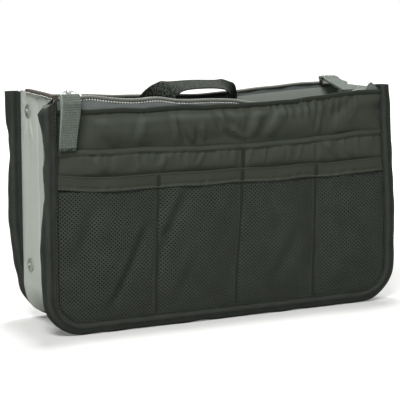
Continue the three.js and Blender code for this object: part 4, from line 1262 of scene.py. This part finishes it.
class BuildGussets(bpy.types.Operator):
    """Gussets, rounded corners and base: grey cloth that folds between the walls."""
    bl_idname = "organizer.gussets"
    bl_label = "Gussets and Base"

    def execute(self, context):
        for seed, (end, way) in enumerate((("left", -1), ("right", 1))):
            self.gusset(end, way, seed)
            self.corner(end, way)
        self.base()
        return {"FINISHED"}

    def gusset(self, end, way, seed):
        """Gusset: a sheet from wall to wall, slightly bowed out on each side of its crease and drawn in at the
        snaps, from where creases run out."""
        y = level_grid(-GUSSET_HALF, GUSSET_HALF, 90, 120)
        top = GUSSET[1][2] + (3.4 * smooth(y[:, :1], -22, 22) if end == "left" else 0.0)
        z = CORNER - 1.0 + (top - CORNER + 1.0) * np.linspace(0, 1, 120)
        z = np.broadcast_to(z, y.shape)
        held = sum(bell(np.hypot(np.abs(y) - SNAP_ASIDE, z - at), 0, 8) for at in SNAPS)
        above = smooth(z, CORNER, CORNER + 16)
        bow = 0.9 * above * np.sin(np.pi * np.abs(y) / GUSSET_HALF) * np.clip(1 - held, 0, 1)
        foot = (1 - smooth(z, CORNER, CORNER + 26)) * self.wide(end, y)
        flare = smooth(np.abs(y), 15, GUSSET_HALF - 1) * (1.6 + 4.0 * foot)
        lines = [(y0, at + z0, y1, at + z1, width, height) for at in SNAPS
                 for y0, z0, y1, z1, width, height in SNAP_CREASES]
        fade = above * smooth(GUSSET_HALF - np.abs(y), 0.5, 5)
        out = bow + fade * np.clip(1 - 1.2 * held, 0, 1) * np.maximum(
            creases(y, z, lines) + 0.25 * relief(y, z, 101 + seed, 40), -0.4)
        out = out + flare - 0.5 * above * bell(y, 0, 1.2)
        outer = np.stack([way * (GUSSET_X + out), y, z], -1)
        inner = np.stack([way * (GUSSET_X + out - 0.8), y, z], -1)
        form = slab(outer, inner, np.stack([y, z], -1) / 1000)
        nodes = [f"{end}_gusset_front", f"{end}_gusset_back"]
        piece = place(f"{end}_gusset_cloth", form, "lining", None, nodes, "lining_nylon", FOLD_ANGLE)
        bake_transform(piece)

    def wide(self, end, y):
        """Share of the flare at a gusset's foot: full, but none on the back half of the left one."""
        return 1.0 - smooth(y, -2, 2) if end == "left" else 1.0 + 0 * y

    def corner(self, end, way):
        """Corner: a quarter circle between the foot of the gusset and the end of the base, carried across."""
        radius = GUSSET_X - (HALF - CORNER)
        turn = np.linspace(0, np.pi / 2, 20)
        y = np.linspace(-GUSSET_HALF + 0.1, GUSSET_HALF - 0.1, 40)
        wide, late = self.wide(end, y)[None], smooth(turn, 0.2, 1.3)[:, None]
        flare = smooth(np.abs(y), 15, GUSSET_HALF - 1)[None] * (1.6 + 4.0 * wide + (4.4 - 1.8 * wide) * late)
        level = np.linspace(HALF - CORNER, BASE[1][0] + 0.2, 10)[1:]
        ease = 1 - np.linspace(0, 1, 9) ** 2
        foot = flare[-1:]
        x = np.concatenate([HALF - CORNER + (radius + flare) * np.cos(turn)[:, None], level[:, None] + 0 * foot])
        z = np.concatenate([CORNER - (radius + flare) * np.sin(turn)[:, None],
                            CORNER - radius - foot * ease[:, None]])
        nx = np.concatenate([np.cos(turn), np.zeros(9)])[:, None] + 0 * foot
        nz = np.concatenate([-np.sin(turn), -np.ones(9)])[:, None] + 0 * foot
        shape = x.shape
        y = np.broadcast_to(y, shape)
        outer, inner = np.stack([way * x, y, z], -1), np.stack([way * (x - 0.9 * nx), y, z - 0.9 * nz], -1)
        around = np.linspace(0, 0.046, shape[0])[:, None]
        form = slab(outer, inner, np.stack([y / 1000, np.broadcast_to(around, shape)], -1))
        piece = place(f"{end}_corner_cloth", form, "lining", "front_wall", [f"{end}_corner"], "lining_nylon",
                      FOLD_ANGLE)
        -GUSSET_HALF / 1000
        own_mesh(piece)

    def base(self):
        """Base: a flat sheet with a shallow crease along its middle and slight unevenness."""
        x, y = level_grid(BASE[0][0], BASE[1][0], 110, 40), level_grid(-GUSSET_HALF, GUSSET_HALF, 40, 110).T
        rise = 0.25 * bell(y, 0, 1.5) + 0.15 * (relief(x, y, 111, 40) + 1) * smooth(GUSSET_HALF - np.abs(y), 1, 8)
        lower, upper = np.stack([x, y, BASE[0][2] + rise], -1), np.stack([x, y, BASE[0][2] + 0.85 + rise], -1)
        form = slab(lower, upper, np.stack([x, y], -1) / 1000)
        piece = place("base_cloth", form, "lining", None, ["base_front", "base_back"], "lining_nylon", FOLD_ANGLE)
        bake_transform(piece)


# Radii and heights of the snaps' turned parts

SOCKET = ([0, 4.6, 5.2, 5.4, 5.1, 4.4, 3.6, 3.0, 2.5, 2.2, 2.2, 0],
          [0.1, 0.1, 0.25, 0.6, 1.05, 1.3, 1.2, 1.0, 1.25, 1.15, 0.5, 0.5])
STUD = ([0, 4.6, 5.2, 5.4, 5.1, 4.4, 3.4, 2.4, 1.9, 1.75, 1.9, 1.75, 1.2, 0],
        [0.1, 0.1, 0.25, 0.6, 1.0, 1.2, 1.1, 1.15, 1.5, 2.0, 2.35, 2.65, 2.8, 2.85])
CAP = [0, 2.0, 4.0, 4.6, 4.4, 0], [-1.75, -1.72, -1.55, -1.3, -1.0, -1.0]


class BuildSnaps(bpy.types.Operator):
    """Snap halves on the gussets: a socket or a stud outside and a cap inside."""
    bl_idname = "organizer.snaps"
    bl_label = "Snaps"

    def execute(self, context):
        cap = lathe(*CAP, 32)
        for end, way in (("left", -1), ("right", 1)):
            for label, side, half in (("front", -1, lathe(*SOCKET, 32)), ("back", 1, lathe(*STUD, 32))):
                turn = [[0, 1, 0], [0, 0, way], [way, 0, 0]]
                form = joined([(half + cap).moved(turn, (way * GUSSET_X, side * SNAP_ASIDE, height))
                               for height in SNAPS])
                nodes = [f"{end}_{label}_snap_upper", f"{end}_{label}_snap_lower"]
                place(f"{end}_{label}_snaps", form.outwards(), "snap", f"{end}_gusset_{label}", nodes,
                      "snap_metal", METAL_ANGLE)
        return {"FINISHED"}


# Camera's aim in metres, and lamps by place and size in metres and share of the key's power

AIM, SENSOR = (-0.00541, 0, 0.08679), 36
LAMPS = {
    "key_lamp": ((-0.95, -1.15, 1.75), 0.9, 1.0),
    "fill_lamp": ((-1.7, -0.5, 0.5), 1.2, 0.03),
    "top_lamp": ((0.1, 0.22, 2.1), 0.3, 0.55),
    "back_lamp": ((1.0, 1.3, 1.6), 1.4, 0.42),
}
LAMP_AIM = (0, 0, 0.08)
FLOOR_HALF, FLOOR_LINES, FLOOR_Z = 3000, 13, -0.05


class BuildStage(bpy.types.Operator):
    """Camera, pale floor, soft lamps and even white surroundings."""
    bl_idname = "organizer.stage"
    bl_label = "Stage"

    def execute(self, context):
        scene, settings = context.scene, context.scene.insert_stage
        a, e = settings.azimuth, settings.elevation
        back = Vector((math.sin(a) * math.cos(e), -math.cos(a) * math.cos(e), math.sin(e)))
        camera = bpy.data.objects.new("camera", bpy.data.cameras.new("camera"))
        camera.location = Vector(AIM) + back * settings.distance
        camera.rotation_euler = back.to_track_quat("Z", "Y").to_euler()
        camera.data.lens, camera.data.sensor_width = settings.lens, SENSOR
        scene.collection.objects.link(camera)
        scene.camera = camera
        scene.view_settings.view_transform = "Standard"

        for name, (spot, size, share) in LAMPS.items():
            lamp = bpy.data.objects.new(name, bpy.data.lights.new(name, "AREA"))
            lamp.data.energy, lamp.data.size = settings.key * share, size
            lamp.location = spot
            lamp.rotation_euler = (Vector(spot) - Vector(LAMP_AIM)).to_track_quat("Z", "Y").to_euler()
            scene.collection.objects.link(lamp)

        self.surroundings(scene, settings)
        self.floor(scene, settings)
        return {"FINISHED"}

    def surroundings(self, scene, settings):
        """World: white where the camera, a reflection or a clear surface sees it, an even pale light elsewhere."""
        world = bpy.data.worlds.new("studio")
        world.use_nodes = True
        scene.world = world
        nodes, links = world.node_tree.nodes, world.node_tree.links
        shade, white, rays, clear, seen, blend = nodes["Background"], *(nodes.new("ShaderNode" + kind) for kind in (
            "Background", "LightPath", "Math", "Math", "MixShader"))
        shade.inputs["Strength"].default_value = settings.sky
        shade.inputs["Color"].default_value = white.inputs["Color"].default_value = (1, 1, 1, 1)
        clear.operation = seen.operation = "MAXIMUM"
        for start, end in ((rays.outputs["Is Glossy Ray"], clear.inputs[0]),
                           (rays.outputs["Is Transmission Ray"], clear.inputs[1]),
                           (rays.outputs["Is Camera Ray"], seen.inputs[0]),
                           (clear.outputs[0], seen.inputs[1]),
                           (seen.outputs[0], blend.inputs[0]),
                           (shade.outputs[0], blend.inputs[1]),
                           (white.outputs[0], blend.inputs[2]),
                           (blend.outputs[0], nodes["World Output"].inputs["Surface"])):
            links.new(start, end)

    def floor(self, scene, settings):
        """Floor: a wide level grid of paper that keeps the shadow, lifted to white where it is seen."""
        side = np.linspace(-FLOOR_HALF, FLOOR_HALF, FLOOR_LINES)
        x, y = np.meshgrid(side, side, indexing="ij")
        points = np.stack([x, y, np.full_like(x, FLOOR_Z)], -1)
        mesh = bpy.data.meshes.new("floor")
        mesh.from_pydata((points / 1000).reshape(-1, 3).tolist(), [], patch(FLOOR_LINES, FLOOR_LINES).tolist())
        mesh.flip_normals()
        floor = bpy.data.objects.new("floor", mesh)
        scene.collection.objects.link(floor)
        paper = Finish("floor_paper", roughness=0.9, specular_ior_level=0.1)
        outputs = paper.add("ShaderNodeLightPath").socket.node.outputs
        seen = [Signal(paper, outputs[key]) for key in ("Is Camera Ray", "Is Glossy Ray", "Is Transmission Ray")]
        spot = paper.add("ShaderNodeTexCoord", output="Object")
        grain = paper.noise(spot, 300.0)
        away = paper.add("ShaderNodeVectorMath", {"operation": "LENGTH"}, {0: spot}, "Value")
        lift = paper.mix((away * 1.2 - 0.25).clamp(), (0.13, 0.13, 0.13), (0.95, 0.95, 0.95))
        glow = paper.add("ShaderNodeEmission", inputs={"Color": lift, "Strength": 1.0})
        paper.set(Base_Color=paper.mix(grain, scaled(settings.floor, 0.99), scaled(settings.floor, 1.01)))
        plain = Signal(paper, paper.shader.outputs[0])
        added = paper.add("ShaderNodeAddShader", inputs={0: plain, 1: glow})
        blend = paper.add("ShaderNodeMixShader", inputs={
            0: (seen[0] + seen[1] + seen[2]).clamp(), 1: plain, 2: added})
        paper.tree.links.new(blend.socket, paper.tree.nodes["Material Output"].inputs["Surface"])
        mesh.materials.append(paper.material)


BUILDERS = (BuildStage, BuildShells, BuildPockets, BuildBindings, BuildZips, BuildPulls, BuildHandles,
            BuildGussets, BuildSnaps)


GROUPS = {"insert_sizes": InsertSizes, "insert_colours": InsertColours, "insert_stage": InsertStage}


class InsertPanel(bpy.types.Panel):
    """Sizes, colours, stage and builders of the insert."""
    bl_idname = "VIEW3D_PT_organizer_insert"
    bl_label = "Organizer Insert"
    bl_space_type = "VIEW_3D"
    bl_region_type = "UI"
    bl_category = "Insert"

    def draw(self, context):
        for name, group in GROUPS.items():
            box = self.layout.box()
            for key in group.__annotations__:
                box.prop(getattr(context.scene, name), key)
        for builder in BUILDERS:
            self.layout.operator(builder.bl_idname)


CLASSES = (*GROUPS.values(), *BUILDERS, InsertPanel)


def register():
    """Registers the classes and puts the property groups on the scene."""
    for cls in CLASSES:
        bpy.utils.register_class(cls)
    for name, group in GROUPS.items():
        setattr(bpy.types.Scene, name, PointerProperty(type=group))


def unregister():
    """Takes the property groups off the scene and the classes out again."""
    for name in GROUPS:
        delattr(bpy.types.Scene, name)
    for cls in reversed(CLASSES):
        bpy.utils.unregister_class(cls)


def main():
    """Builds the stage and the pieces in order."""
    register()
    bpy.ops.organizer.stage()
    bpy.ops.organizer.shells()
    bpy.ops.organizer.pockets()
    bpy.ops.organizer.bindings()
    bpy.ops.organizer.zips()
    bpy.ops.organizer.pulls()
    bpy.ops.organizer.handles()
    bpy.ops.organizer.gussets()
    bpy.ops.organizer.snaps()


if __name__ == "__main__":
    main()
